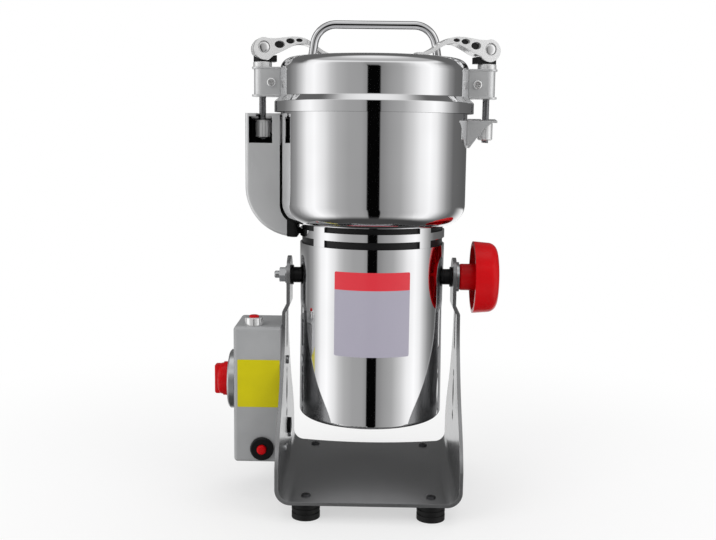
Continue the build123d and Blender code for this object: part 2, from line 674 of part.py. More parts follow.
def grinding_bowl():
    """Spun bowl with its machined rim and the hole for the shaft seal."""
    line = [(0, BOWL_LOW), (BOWL_R, BOWL_LOW), (BOWL_R, RIM_TOP - 2)]
    bowl = spun_sheet(line, BOWL_ROUND, BOWL_WALL)
    low = RIM_TOP - RIM_HEIGHT
    inner = BOWL_R - BOWL_WALL
    rim = [(inner, low), (RIM_R, low), (RIM_R, RIM_TOP - 1.2), (RIM_R - 1.2, RIM_TOP)]
    rim += [(inner - 1, RIM_TOP), (inner - 1, RIM_TOP - 2), (inner, RIM_TOP - 3)]
    return bowl + turned(rim) - post(12, BOWL_LOW - 1, BOWL_LOW + 5)


def bowl_space(gap, top):
    """The bowl's outer form and all above it, widened by a gap."""
    outer = BOWL_R + gap
    low = BOWL_LOW - gap
    wall = FilletPolyline((0, low), (outer, low), (outer, top), radius=BOWL_ROUND)
    rest = Polyline((outer, top), (0, top), (0, low))
    return revolve(Plane.XZ * make_face(wall + rest), Axis.Z)


def guard_form(inset, inner, lean, half):
    """Form of the duct beside and below the bowl, set in from its outer faces."""
    out = BOWL_R + GUARD_REACH - inset
    top = RIM_TOP - GUARD_TOP_DROP - inset
    low = DUCT_LOW + inset
    outer = FilletPolyline((-out, top), (-out, low), (-inner, low), radius=GUARD_ROUND - inset)
    rest = Polyline((-inner, low), (-BOWL_R + lean, top), (-out, top))
    return extrude(make_face(Plane.XZ * (outer + rest)), half, both=True)


def switch_guard():
    """Sheet duct beside the bowl that covers the lid switch, with its window and the rod's slot."""
    top = RIM_TOP - GUARD_TOP_DROP
    guard = guard_form(0, MOTOR_R, 20, GUARD_HALF)
    guard -= guard_form(GUARD_SHEET, MOTOR_R - 5, 30, GUARD_HALF - GUARD_SHEET)
    guard -= block((-DUCT_END, 0), (-GUARD_HALF - 1, GUARD_HALF + 1), (DUCT_LOW - 1, RIM_TOP))
    guard -= bowl_space(SLIP, RIM_TOP)
    seam = (-GUARD_HALF - 1, -GUARD_HALF + GUARD_SHEET)
    guard -= bowl_space(GUARD_GAP, RIM_TOP) & block((-BOWL_R * 2, 0), seam, (DUCT_LOW, RIM_TOP))
    guard -= block((-ROD_X - 9.1, -ROD_X + 9.2), (-GUARD_HALF - 1, -5), (NUT_LOW - 4, top - 2.5))
    slot = extrude(Rot(0, 0, 90) * SlotOverall(2 * GUARD_HALF + 7.8, 7.8), 9)
    return guard - Pos(-ROD_X + 0.5, -GUARD_HALF, top - 4) * slot


def duct_bush():
    """Rubber bush that closes the duct's inner end, with a short sleeve for the lead to the motor."""
    near = -MOTOR_R - 1.6
    depth = (-GUARD_HALF, GUARD_HALF)
    heights = (DUCT_LOW - 1, BOWL_LOW + BOWL_ROUND)
    bush = guard_form(0, MOTOR_R - 5, 30, GUARD_HALF)
    bush &= block((-DUCT_END + SLIP, near), depth, heights)
    bush = fillet(bush.edges().filter_by(Axis.Z).group_by(Axis.X)[-1], 3.0)
    fit = GUARD_SHEET + SLIP
    plug = guard_form(fit, MOTOR_R - 5, 30, GUARD_HALF - fit)
    bush += plug & block((-DUCT_END - 4, -DUCT_END + 1), depth, heights)
    bush -= bowl_space(SLIP, RIM_TOP)
    sleeve_z = BOWL_LOW - 6.75
    bush += along_x(2.6, near - 4, -MOTOR_R + 8, z=sleeve_z)
    return bush - post(MOTOR_R + SLIP, DUCT_LOW - 1, BOWL_LOW) - along_x(1.6, -DUCT_END - 9, 0, z=sleeve_z)


def safety_switch():
    """Micro switch in the guard with its plunger below the rod."""
    wall = -BOWL_R - 2 * SLIP
    tip = NUT_LOW - ROD_TAIL - CAM_FALL
    body = block((wall - 22, 0), (-5, 5), (tip - 24, tip - 6))
    body -= post(BOWL_R + 2 * SLIP, 0, RIM_TOP)
    return body + post(1.5, tip - 8, tip - 1, -ROD_X)


def hook_bracket():
    """Right hook: a ramped slotted plate, a gusset at its closed side and a flange on the bowl."""
    sheet = EAR_SHEET
    close = -10.0
    mouth = 6.0
    ramp = [(y, HOOK_Z + (y + NUT_R) * HOOK_RAMP) for y in (close, mouth)]
    ramp += [(y, z + sheet) for y, z in reversed(ramp)]
    plate = extrude(make_face(Plane.YZ * Polyline(*ramp, close=True)), ROD_X + 8.3)
    half_slot = ROD_R + 0.6
    slot_z = (HOOK_Z - 5, HOOK_Z + 5)
    plate -= post(half_slot, *slot_z, ROD_X)
    plate -= block((ROD_X - half_slot, ROD_X + half_slot), (0, 20), slot_z)
    flange = ring(BOWL_R + 3, BOWL_R + SLIP, HOOK_Z - 18, HOOK_Z + 0.5)
    flange &= block((0, BOWL_R + 1.6), (close, mouth), (0, RIM_TOP))
    top = HOOK_Z + 0.6
    outline = [(BOWL_R, top), (ROD_X + 6, top), (ROD_X - 2, HOOK_Z - 5)]
    outline += [(BOWL_R + 1.5, HOOK_Z - 20), (BOWL_R, HOOK_Z - 20)]
    cheek = Pos(0, close + sheet / 2, 0) * plate_of(outline, sheet / 2)
    return (plate + flange + cheek) - post(BOWL_R + SLIP, 0, RIM_TOP + 5)


def hook_brackets():
    """The two hooks, each the other turned half round."""
    return pair(hook_bracket())


# ---------------------------------------------------------------- rotor


def motor_shaft():
    """Stepped shaft from the lower bearing up into the bowl."""
    shaft = post(SHAFT_R, LOWER_PLATE + 1, STACK_TOP + 6)
    shaft += post(8, SWEEP_Z - 1.2, SWEEP_Z - SLIP / 2)
    return chamfer(shaft.edges().group_by(Axis.Z)[-1], 0.8)


def armature_core():
    """Laminated armature with slots, and the winding heads above and below."""
    core = ring(STATOR_BORE - 0.5, SHAFT_R + SLIP / 2, STATOR_LOW, STATOR_HIGH)
    slot = block((STATOR_BORE - 4, STATOR_BORE + 2), (-1, 1), (STATOR_LOW - 1, STATOR_HIGH + 1))
    for angle in range(0, 360, 30):
        core -= Rot(0, 0, angle) * slot
    for low in (STATOR_LOW - 8, STATOR_HIGH):
        core += ring(STATOR_BORE - 5, SHAFT_R + SLIP / 2, low, low + 8)
    return core


def commutator():
    """Copper commutator with its segment slots."""
    low = BRUSH_Z - 6
    barrel = ring(COMMUTATOR_R, SHAFT_R + SLIP / 2, low, low + 12)
    slot = block((COMMUTATOR_R - 1, COMMUTATOR_R + 1), (-0.3, 0.3), (low - 1, low + 13))
    for angle in range(0, 360, 45):
        barrel -= Rot(0, 0, angle) * slot
    return barrel


def cooling_fan():
    """Radial fan: disc, hub and curved vanes."""
    low = STATOR_HIGH + 15
    fan = ring(FAN_R, SHAFT_R + SLIP / 2, low, low + 1.6) + ring(10, SHAFT_R + SLIP / 2, low, low + 12)
    vane = extrude(Pos(22, 12) * (Circle(16) - Circle(14.8)), 9)
    vane &= Pos(0, 0, -1) * Box(200, 24, 30)
    vane &= ring(FAN_R, 16, -1, 10)
    vane &= block((0, 60), (-12, 12), (0, 12))
    for angle in range(0, 360, 45):
        fan += Pos(0, 0, low + 1) * Rot(0, 0, angle) * vane
    return fan


def blade_outline(width, reach):
    """Two-armed blade in plan with swept, pointed ends."""
    half = width / 2
    tip = [(reach - 12, -half), (reach, half * 0.4), (reach - 6, half)]
    arm = make_face(Polyline((0, -half), *tip, (0, half), close=True))
    return arm + Rot(0, 0, 180) * arm + Circle(width * 0.75)


def cutting_blades():
    """Two thin blades, one above the other at right angles."""
    blade = extrude(blade_outline(16, BLADE_REACH), 2.5) - post(SHAFT_R + SLIP / 2, -1, 8)
    first = Pos(0, 0, BLADE_1) * Rot(0, 0, 30) * blade
    second = Pos(0, 0, BLADE_2) * Rot(0, 0, 120) * blade
    return Compound([first, second])


def sweep_blade():
    """Lowest blade, which sweeps the floor, with tips bent up along the bowl's round."""
    reach = BLADE_REACH - 8
    line = [(-reach - 2, 12), (-reach + 8, 0), (reach - 8, 0), (reach + 2, 12)]
    strip = extrude(Plane.XZ * sheet_of(line, 6, 2.5), 7, both=True)
    strip += post(11, 0, 2.5)
    return Pos(0, 0, SWEEP_Z) * (strip - post(SHAFT_R + SLIP / 2, -1, 5))


def blade_spacers():
    """Spacer tubes between the blades."""
    lower = ring(8.5, SHAFT_R + SLIP / 2, SWEEP_Z + 2.5 + SLIP / 2, BLADE_1 - SLIP / 2)
    upper = ring(8.5, SHAFT_R + SLIP / 2, BLADE_1 + 2.5 + SLIP / 2, BLADE_2 - SLIP / 2)
    return Compound([lower, upper])


def blade_nut():
    """Domed nut over the end of the shaft."""
    nut = Pos(0, 0, STACK_TOP + SLIP / 2) * extrude(RegularPolygon(9.2, 6), 6)
    dome = Pos(0, 0, STACK_TOP + 5) * Sphere(7)
    nut += dome & post(12, STACK_TOP + 5, STACK_TOP + 15)
    return nut - post(SHAFT_R + SLIP / 2, STACK_TOP - 1, STACK_TOP + 6.2)


# ---------------------------------------------------------------- lid


def lid_line():
    """Outer line of the lid from its middle to the edge of the skirt."""
    return [
        (0, LID_TOP),
        (LID_R, LID_TOP),
        (LID_R, SHOULDER_TOP),
        (SKIRT_R, SHOULDER_LOW),
        (SKIRT_R, SKIRT_LOW),
    ]


def lid():
    """Spun lid: flat top, wall, sloping shoulder and skirt over the bowl's rim."""
    return spun_sheet(lid_line(), [LID_ROUND, 0.8, 0.8], LID_WALL, Side.RIGHT)


def lid_seal():
    """Silicone ring between the lid's shoulder and the bowl's rim."""
    low = RIM_TOP + SLIP
    wall = LID_R - LID_WALL - SLIP
    outline = [(wall - 2.6, low), (wall + 2.0, low), (wall, low + 2.1)]
    outline += [(wall, low + 6), (wall - 2.6, low + 6)]
    return turned(outline)


def lid_handle():
    """Bent tube handle standing on the lid."""
    bar = LID_TOP + HANDLE_RISE
    lean = (HANDLE_FOOT_X - HANDLE_TOP_X) / HANDLE_RISE
    foot = LID_TOP - 4
    foot_x = HANDLE_FOOT_X + 4 * lean
    points = [(-foot_x, foot), (-HANDLE_TOP_X, bar), (HANDLE_TOP_X, bar), (foot_x, foot)]
    path = Plane.XZ * FilletPolyline(*points, radius=HANDLE_BEND)
    section = Plane(path @ 0, z_dir=path % 0) * Circle(HANDLE_R)
    tube = sweep(section, path)
    return tube - block((-99, 99), (-9, 9), (foot - 9, LID_TOP + SLIP / 2))


# ---------------------------------------------------------------- clamps


def lid_space():
    """The lid's outer form, widened by the gap to what is fastened on it."""
    wall = LID_R + SLIP
    skirt = SKIRT_R + SLIP
    outline = [(0, SKIRT_LOW), (skirt, SKIRT_LOW), (skirt, SHOULDER_LOW)]
    outline += [(wall, SHOULDER_TOP + SLIP), (wall, LID_TOP), (0, LID_TOP)]
    return turned(outline)


def ear_plan(reach, half):
    """Plan of a clamp bracket with rounded outer corners."""
    outline = Pos(reach / 2, 0) * Rectangle(reach, 2 * half)
    return fillet(outline.vertices().group_by(Axis.X)[-1], 6)


def clamp_bracket():
    """Right bracket on the lid's wall: a rounded U wall between two lipped plates."""
    out = LID_R + EAR_REACH
    wall = ear_plan(out, EAR_HALF)
    wall = extrude(wall, EAR_HEIGHT) - extrude(offset(wall, -EAR_SHEET), EAR_HEIGHT)
    lip = extrude(ear_plan(out + EAR_LIP, EAR_HALF + 0.3), EAR_SHEET)
    ear = Pos(0, 0, EAR_Z) * (wall + lip + Pos(0, 0, EAR_HEIGHT - EAR_SHEET) * lip)
    ear -= post(ROD_R + 0.4, EAR_Z - 1, EAR_TOP + 1, ROD_X)
    ear -= along_y(SCREW_HOLE_R, -20, 20, EAR_SCREW_X, EAR_SCREW_Z)
    return ear - lid_space()


def clamp_brackets():
    """Both clamp brackets."""
    return pair(clamp_bracket())


def bracket_screws():
    """Cross screws of the clamp brackets, heads to the front, nuts at the rear."""
    head = EAR_HALF + 2.2
    screw = along_y(3.4, -head, -EAR_HALF)
    screw = fillet(screw.edges().group_by(Axis.Y)[0], 1)
    screw -= Pos(0, -head, 0) * Rot(90, 0, 0) * cross_recess(2.0, 0.9)
    screw += along_y(SCREW_R, -EAR_HALF, EAR_HALF + 4)
    screw += Pos(0, EAR_HALF + 2.6, 0) * Rot(90, 0, 0) * extrude(RegularPolygon(4, 6), 2.5)
    return Compound([Pos(x, 0, EAR_SCREW_Z) * screw for x in (-EAR_SCREW_X, EAR_SCREW_X)])


def cam_washers():
    """Steel rings on the brackets, round the rods."""
    washer = post(WASHER_R, EAR_TOP + SLIP / 2, WASHER_TOP, ROD_X)
    washer = chamfer(washer.edges().group_by(Axis.Z)[-1], 0.6)
    return pair(washer - post(ROD_R + 0.4, EAR_TOP, WASHER_TOP + 1, ROD_X))


def yawed(part):
    """Puts a piece of a lever's own frame, with the cross pin at its origin, on the right rod."""
    return Pos(ROD_X, 0, CROSS_Z) * Rot(0, 0, CLAMP_YAW) * part


def cam_saddles():
    """Plastic seats hollowed for the cams."""
    low = WASHER_TOP - CROSS_Z + SLIP / 2
    seat = Pos(0, 0, low) * Cylinder(WASHER_R - 0.3, 5.0, align=RISING)
    seat += block((-10.5, 0), (-5, 5), (low, -6.0))
    seat -= along_y(SADDLE_R, -9, 9, -SADDLE_SHIFT, 0)
    seat -= Pos(0, 0, -20) * Cylinder(ROD_R + 0.4, 20, align=RISING)
    return pair(yawed(seat))


def lever_outline():
    """Side outline of the right lever: a spiral cam, a neck and a thin curved tip, towards -X."""
    last = CAM_R - CAM_FALL
    cam = []
    for step in range(5):
        turn = radians(CAM_TURN * step / 4)
        reach = CAM_R - CAM_FALL * step / 4
        cam.append((reach * sin(turn), -reach * cos(turn)))
    spiral = Spline(*cam, tangents=((1, 0.12), (-cos(radians(60)), sin(radians(60)))))
    nape = (-last * sin(radians(19.7)), last * cos(radians(19.7)))
    crown = ThreePointArc(cam[-1], (last * sin(radians(165)), -last * cos(radians(165))), nape)
    tip_top = (-58, -3.7)
    tip_low = (-58, -5.7)
    back = Spline(nape, (-12, 7.2), (-23, 8.6), (-30, 8.2), (-37, 5.6), (-44, 1.0), tip_top)
    tip = ThreePointArc(tip_top, (-59, -4.7), tip_low)
    heel = (-CAM_R * sin(radians(55)), -CAM_R * cos(radians(55)))
    belly = Spline(tip_low, (-44, -2.2), (-37, 2.0), (-30, 3.3), (-23, 1.4), (-14, -3.2), heel)
    half = radians(27)
    sole = ThreePointArc(heel, (-CAM_R * sin(half), -CAM_R * cos(half)), cam[0])
    return make_face(Plane.XZ * (Curve() + [spiral, crown, back, tip, belly, sole]))


def lever():
    """Right lever in its own frame: cam head with fork and bore, tapering arm with three pockets."""
    body = extrude(lever_outline(), LEVER_HALF, both=True)
    body -= along_y(CROSS_R + RUN, -9, 9)
    body -= block((-3.4, 14), (-FORK_HALF, FORK_HALF), (-14, 14))
    taper = Polyline((-16, LEVER_HALF + 1), (-16, LEVER_HALF), (-62, 4.5), (-62, LEVER_HALF + 1), close=True)
    trim = Pos(0, 0, -20) * extrude(make_face(taper), 40)
    body -= trim
    body -= mirror(trim, about=Plane.XZ)
    for x, z, wide, high in ((-12.3, 2.2, 4.0, 2.8), (-20.8, 5.1, 3.4, 2.0), (-28, 5.9, 2.6, 1.3)):
        pocket = Pos(0, -POCKET_HALF, 0) * extrude(Plane.XZ * Pos(x, z) * Ellipse(wide, high), LEVER_HALF)
        body -= pocket
        body -= mirror(pocket, about=Plane.XZ)
    return body


def cross_pin():
    """Round cross pin with the blind hole of the rod."""
    pin = along_y(CROSS_R, -LEVER_HALF - 0.4, LEVER_HALF + 0.4)
    pin = fillet(pin.edges().filter_by(GeomType.CIRCLE), 0.7)
    return pin - Pos(0, 0, -9) * Cylinder(ROD_R + SLIP / 2, 11, align=RISING)


def clamp_rod():
    """Threaded rod from the cross pin down through the nut."""
    rod = post(ROD_R, NUT_LOW - ROD_TAIL, CROSS_Z + 1.9, ROD_X)
    return chamfer(rod.edges().group_by(Axis.Z)[0], 0.6)


def barrel_nut():
    """Round nut that hooks under the bracket."""
    nut = post(NUT_R, NUT_LOW, NUT_TOP, ROD_X)
    nut = chamfer(nut.edges().filter_by(GeomType.CIRCLE), 0.7)
    return nut - post(ROD_R + SLIP / 2, NUT_LOW - 1, NUT_TOP + 1, ROD_X)


def right_lever():
    """Lever of the right clamp."""
    return yawed(lever())


def left_lever():
    """Lever of the left clamp."""
    return opposite(yawed(lever()))


def right_cross_pin():
    """Cross pin of the right clamp."""
    return yawed(cross_pin())


def left_cross_pin():
    """Cross pin of the left clamp."""
    return opposite(yawed(cross_pin()))


def right_clamp_rod():
    """Rod of the right clamp."""
    return clamp_rod()


def left_clamp_rod():
    """Rod of the left clamp."""
    return opposite(clamp_rod())


def right_barrel_nut():
    """Nut of the right clamp."""
    return barrel_nut()


def left_barrel_nut():
    """Nut of the left clamp."""
    return opposite(barrel_nut())


NODES = [
    stand_frame, rubber_feet, foot_screws,
    switch_box_cover, switch_box_plate, box_screws, timer_movement, timer_dial, timer_spindle, timer_knob,
    power_switch, power_button, overload_breaker, reset_bezel, reset_button, cord_gland, arm_grommet,
    pivot_bosses, pivot_washers, left_pivot_bolt, left_pivot_nut, lock_knob_washer, lock_knob,
    motor_housing, vent_collar, motor_sleeve, bearing_brackets, motor_bearings,
    stator_core, field_coils, carbon_brushes, shaft_seal, grinding_bowl,
    switch_guard, duct_bush, safety_switch, hook_brackets,
    motor_shaft, armature_core, commutator, cooling_fan, cutting_blades, sweep_blade, blade_spacers, blade_nut,
    lid, lid_seal, lid_handle, clamp_brackets, bracket_screws, cam_washers, cam_saddles,
    right_lever, left_lever, right_cross_pin, left_cross_pin,
    right_clamp_rod, left_clamp_rod, right_barrel_nut, left_barrel_nut,
]


def main():
    """Writes one file for each node, with the origin below the middle of the whole mill."""
    os.makedirs("parts", exist_ok=True)
    for make in NODES:
        export_step(Pos(AXIS_X, 0, 0) * make(), f"parts/{make.__name__}.step")


if __name__ == "__main__":
    main()
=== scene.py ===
"""Looks of an electric grain mill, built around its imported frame.

Every length is in metres. X runs to the right, Y to the rear and Z up from the floor.
"""

import logging
import math
from dataclasses import dataclass
from enum import Enum
from functools import cache
from typing import Callable, ClassVar, Iterable, Sequence, Union

import bmesh
import bpy
from mathutils import Matrix, Vector


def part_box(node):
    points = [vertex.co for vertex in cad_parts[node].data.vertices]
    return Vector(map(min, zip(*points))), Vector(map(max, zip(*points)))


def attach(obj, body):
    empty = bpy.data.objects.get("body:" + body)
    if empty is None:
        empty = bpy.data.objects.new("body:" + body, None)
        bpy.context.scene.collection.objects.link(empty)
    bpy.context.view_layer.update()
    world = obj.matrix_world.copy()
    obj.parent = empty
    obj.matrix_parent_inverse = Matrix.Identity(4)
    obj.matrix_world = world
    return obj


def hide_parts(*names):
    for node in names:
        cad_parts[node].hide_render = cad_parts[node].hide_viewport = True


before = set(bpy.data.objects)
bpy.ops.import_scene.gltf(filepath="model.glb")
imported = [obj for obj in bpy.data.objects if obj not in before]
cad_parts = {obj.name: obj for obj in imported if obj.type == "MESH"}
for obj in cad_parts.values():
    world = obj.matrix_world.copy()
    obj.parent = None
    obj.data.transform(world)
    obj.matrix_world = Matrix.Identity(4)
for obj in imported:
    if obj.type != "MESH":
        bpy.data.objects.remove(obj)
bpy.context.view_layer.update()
LOG = logging.getLogger("grain_mill")

AXIS_X = sum(corner[0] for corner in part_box("motor_housing")) / 2  # the upright axis of the mill
CLAMP_REACH = 0.0877  # from that axis to a clamp
PIN_HEIGHT = 0.3572  # of the cross pins, over the floor
LEVER_YAW = math.radians(16.0)  # turn of both levers about the upright axis
FILM = 0.00015  # thickness of a printed plate
FILM_GAP = 0.00002  # between a printed plate and what it is stuck to
UPRIGHT = (math.pi / 2, 0.0, 0.0)  # turn from lying on the floor to facing the front

Piece = bpy.types.Object
Colour = tuple[float, float, float]
Point = tuple[float, float, float]
Span = tuple[float, float]
Term = Union["Wire", float]
Value = Union["Wire", float, Sequence[float]]
Place = tuple["Wire", "Wire", "Wire"]


@dataclass
class Wire:
    """A node's output that Python's operators join to Math nodes.

    Args:
        tree: The node tree that holds the output.
        socket: The output.
    """

    tree: bpy.types.NodeTree
    socket: bpy.types.NodeSocket | None

    def _math(self, operation: str, first: Term, second: Term) -> "Wire":
        """Adds one Math node.

        Args:
            operation: Blender's name of the operation.
            first: The first operand.
            second: The second operand.

        Returns:
            The result.
        """
        node = self.tree.nodes.new("ShaderNodeMath")
        node.operation = operation
        for index, value in enumerate((first, second)):
            if isinstance(value, Wire):
                self.tree.links.new(value.socket, node.inputs[index])
            else:
                node.inputs[index].default_value = value
        return Wire(self.tree, node.outputs[0])

    def __add__(self, other: Term) -> "Wire":
        """Sum."""
        return self._math("ADD", self, other)

    def __radd__(self, other: float) -> "Wire":
        """Sum with a plain number first."""
        return self._math("ADD", other, self)

    def __sub__(self, other: Term) -> "Wire":
        """Difference."""
        return self._math("SUBTRACT", self, other)

    def __rsub__(self, other: float) -> "Wire":
        """Difference from a plain number."""
        return self._math("SUBTRACT", other, self)

    def __mul__(self, other: Term) -> "Wire":
        """Product."""
        return self._math("MULTIPLY", self, other)

    def __truediv__(self, other: Term) -> "Wire":
        """Quotient."""
        return self._math("DIVIDE", self, other)

    def __pow__(self, other: Term) -> "Wire":
        """Power."""
        return self._math("POWER", self, other)

    def angle(self, other: "Wire") -> "Wire":
        """Angle whose tangent is this value over the other one."""
        return self._math("ARCTAN2", self, other)

    def most(self, other: Term) -> "Wire":
        """The greater of two values."""
        return self._math("MAXIMUM", self, other)


class Painter:
    """Builds the node tree of one material or of the world."""

    def __init__(self, tree: bpy.types.NodeTree) -> None:
        """Starts an empty tree.

        Args:
            tree: The tree to fill, which is cleared first.
        """
        self.tree = tree
        tree.nodes.clear()

    def feed(self, socket: bpy.types.NodeSocket, value: Value) -> None:
        """Sets a socket to a value, or joins it to a wire.

        Args:
            socket: The input.
            value: The number, colour, vector or wire for it.
        """
        if isinstance(value, Wire):
            self.tree.links.new(value.socket, socket)
            return
        if not isinstance(value, (int, float)) and socket.type == "RGBA" and len(value) == 3:
            value = (*value, 1.0)
        socket.default_value = value

    def node(
        self,
        kind: str,
        settings: dict[str, object] | None = None,
        sockets: dict[str | int, Value] | None = None,
        out: str | int = 0,
    ) -> Wire:
        """Adds one node.

        Args:
            kind: Blender's name of the node's type.
            settings: Its own settings, and under "stops" a ramp's places and greys.
            sockets: Values or wires for its inputs.
            out: The output that is wanted.

        Returns:
            That output.
        """
        node = self.tree.nodes.new(kind)
        for key, value in (settings or {}).items():
            if key == "stops":
                self._stops(node.color_ramp, value)
            else:
                setattr(node, key, value)
        for key, value in (sockets or {}).items():
            self.feed(node.inputs[key], value)
        return Wire(self.tree, node.outputs[out] if node.outputs else None)

    @staticmethod
    def _stops(ramp: bpy.types.ColorRamp, stops: Iterable[Span]) -> None:
        """Gives a ramp its grey stops.

        Args:
            ramp: The ramp, with the two stops that it starts with.
            stops: Places and greys, in rising order of place.
        """
        for index, (place, grey) in enumerate(stops):
            stop = ramp.elements[index] if index < 2 else ramp.elements.new(place)
            stop.position = place
            stop.color = (grey, grey, grey, 1.0)

    def apart(self, vector: Wire) -> Place:
        """Takes a vector apart.

        Args:
            vector: The vector.

        Returns:
            Its x, y and z.
        """
        node = self.tree.nodes.new("ShaderNodeSeparateXYZ")
        self.feed(node.inputs[0], vector)
        x, y, z = (Wire(self.tree, output) for output in node.outputs)
        return x, y, z

    def place(self) -> tuple[Wire, Wire, Wire, Wire]:
        """Object coordinates: the vector, and its x, y and z."""
        vector = self.node("ShaderNodeTexCoord", out="Object")
        return vector, *self.apart(vector)

    def noise(self, vector: Wire, scale: float, detail: float = 2.0) -> Wire:
        """Noise between about 0.2 and 0.8, with so many features to a metre and finer layers."""
        sockets = {"Vector": vector, "Scale": scale, "Detail": detail, "Roughness": 0.55}
        return self.node("ShaderNodeTexNoise", {}, sockets)

    def blend(self, share: Value, first: Value, second: Value) -> Wire:
        """Mixes two colours.

        Args:
            share: How much of the second colour there is.
            first: The first colour.
            second: The second colour.

        Returns:
            The mixed colour.
        """
        mix = self.tree.nodes.new("ShaderNodeMix")
        mix.data_type = "RGBA"
        for index, value in ((0, share), (6, first), (7, second)):
            self.feed(mix.inputs[index], value)
        return Wire(self.tree, mix.outputs[2])

    def ease(self, value: Wire, low: float, high: float) -> Wire:
        """A soft step from 0 at the low limit to 1 at the high one."""
        sockets = {"Value": value, "From Min": low, "From Max": high}
        return self.node("ShaderNodeMapRange", {"interpolation_type": "SMOOTHSTEP"}, sockets)

    def surface(self, sockets: dict[str, Value]) -> None:
        """Ends a material in a Principled surface with these inputs."""
        shader = self.node("ShaderNodeBsdfPrincipled", {}, sockets)
        self.node("ShaderNodeOutputMaterial", {}, {"Surface": shader})

    def relief(self, height: Wire, depth: float, edge: float = 0.0) -> Wire:
        """A normal from a height, with softened edges.

        Args:
            height: The height, from 0 to 1.
            depth: What a height of 1 means in metres.
            edge: Radius by which sharp edges are softened.

        Returns:
            The normal.
        """
        sockets: dict[str | int, Value] = {"Height": height, "Distance": depth, "Strength": 1.0}
        if edge:
            sockets["Normal"] = self.node("ShaderNodeBevel", {"samples": 4}, {"Radius": edge})
        return self.node("ShaderNodeBump", {}, sockets)


def new_material(name: str) -> tuple[bpy.types.Material, Painter]:
    """Makes an empty material.

    Args:
        name: Its name.

    Returns:
        The material and the painter of its nodes.
    """
    made = bpy.data.materials.new(name)
    made.use_nodes = True
    return made, Painter(made.node_tree)


class Side(Enum):
    """Side of the mill that a clamp is on, with the sign that X has there."""

    RIGHT = 1
    LEFT = -1

    @property
    def word(self) -> str:
        """The side's name, as nodes and bodies have it."""
        return self.name.lower()

    def clamp_at(self, height: float) -> Vector:
        """Point at a height on the upright line through the side's clamp."""
        return Vector((AXIS_X + self.value * CLAMP_REACH, 0.0, height))


class Steel(Enum):
    """How a steel surface was worked, with the features of that work to a metre."""

    SPUN = 1400.0  # fine rings from polishing on the lathe
    DRAWN = 1800.0  # fine upright lines
    BLASTED = 2600.0  # even matt grain
    PLAIN = 600.0  # no direction


@dataclass(frozen=True)
class MetalFinish:
    """Bare or plated metal.

    Args:
        name: Name of the material.
        tint: Colour of the metal.
        roughness: Middle of its roughness.
        spread: How far smudges move the roughness.
        work: How the surface was worked.
        depth: Depth of that working in metres.
        edge: Radius by which sharp edges are softened.
        bare: How much of the surface is bare metal and not a matt film.
    """

    name: str
    tint: Colour
    roughness: float
    spread: float = 0.04
    work: Steel = Steel.PLAIN
    depth: float = 0.000002
    edge: float = 0.0003
    bare: float = 1.0

    SMUDGES: ClassVar[float] = 38.0  # to a metre
    CLOUDS: ClassVar[float] = 14.0  # to a metre
    DULL: ClassVar[float] = 0.86  # what a cloud leaves of the colour
    STRETCH: ClassVar[float] = 0.02  # height in upright lines, by width

    @cache
    def material(self) -> bpy.types.Material:
        """Builds the material, once.

        Returns:
            The new material.
        """
        made, painter = new_material(self.name)
        vector, x, y, z = painter.place()
        smudge = painter.noise(vector, self.SMUDGES, 3.0)
        grain = self._grain(painter, vector, (x, y, z))
        dull = tuple(channel * self.DULL for channel in self.tint)
        cloud = painter.ease(painter.noise(vector, self.CLOUDS), 0.35, 0.75)
        colour = painter.blend(cloud * 0.5 + grain * 0.12, self.tint, dull)
        matt = self.roughness + (smudge - 0.5) * (2.0 * self.spread) + (grain - 0.5) * self.spread
        painter.surface(
            {
                "Base Color": self._stained(painter, (x, y, z), colour),
                "Metallic": self.bare,
                "Roughness": matt,
                "Normal": painter.relief(grain, self.depth, self.edge),
            }
        )
        return made

    def _stained(self, painter: Painter, place: Place, colour: Wire) -> Wire:
        """The colour as it is, for a subclass to add painted shade to."""
        return colour

    def _grain(self, painter: Painter, vector: Wire, place: Place) -> Wire:
        """The working of the surface.

        Args:
            painter: The material's painter.
            vector: Object coordinates.
            place: Their x, y and z.

        Returns:
            Its height, from 0 to 1.
        """
        x, y, z = place
        if self.work is Steel.SPUN:
            radius = ((x - AXIS_X) ** 2.0 + y**2.0) ** 0.5
            rings = painter.node("ShaderNodeCombineXYZ", {}, {0: radius, 1: z, 2: 0.0})
            return painter.noise(rings, self.work.value, 3.0)
        if self.work is Steel.DRAWN:
            vector = painter.node("ShaderNodeCombineXYZ", {}, {0: x, 1: y, 2: z * self.STRETCH})
        return painter.noise(vector, self.work.value)


@dataclass(frozen=True)
class LeverFinish(MetalFinish):
    """Plated lever with painted shade, near black, in its three pockets.

    Args:
        side: The lever's side.
    """

    side: Side = Side.RIGHT

    # Near-black painted shade for the lever's pockets, not a colour of the metal.
    SKIN: ClassVar[Colour] = (0.02,) * 3
    # Each pocket's middle along the lever and over the pin, and its two half widths.
    POCKETS: ClassVar[tuple[tuple[float, float, float, float], ...]] = (
        (-0.0123, 0.0022, 0.0041, 0.0029),
        (-0.0208, 0.0051, 0.0035, 0.0021),
        (-0.0280, 0.0059, 0.0027, 0.0014),
    )

    def _stained(self, painter: Painter, place: Place, colour: Wire) -> Wire:
        """The plating, with painted shade in the pockets.

        Args:
            painter: The material's painter.
            place: Object coordinates x, y and z.
            colour: The plating's colour.

        Returns:
            The colour with the painted shade of the pockets in it.
        """
        x, y, z = place
        across = (x - AXIS_X) * float(self.side.value) - CLAMP_REACH
        along = across * math.cos(LEVER_YAW) + y * (self.side.value * math.sin(LEVER_YAW))
        rise = z - PIN_HEIGHT
        # Each pocket is darkened through an oval mask: painted shade where the recess lies in
        # shade.
        black: Term = 0.0
        for middle, height, wide, high in self.POCKETS:
            reach = ((along - middle) / wide) ** 2.0 + ((rise - height) / high) ** 2.0
            black = painter.ease(1.0 - reach, 0.0, 0.25) + black
        return painter.blend(black, colour, self.SKIN)


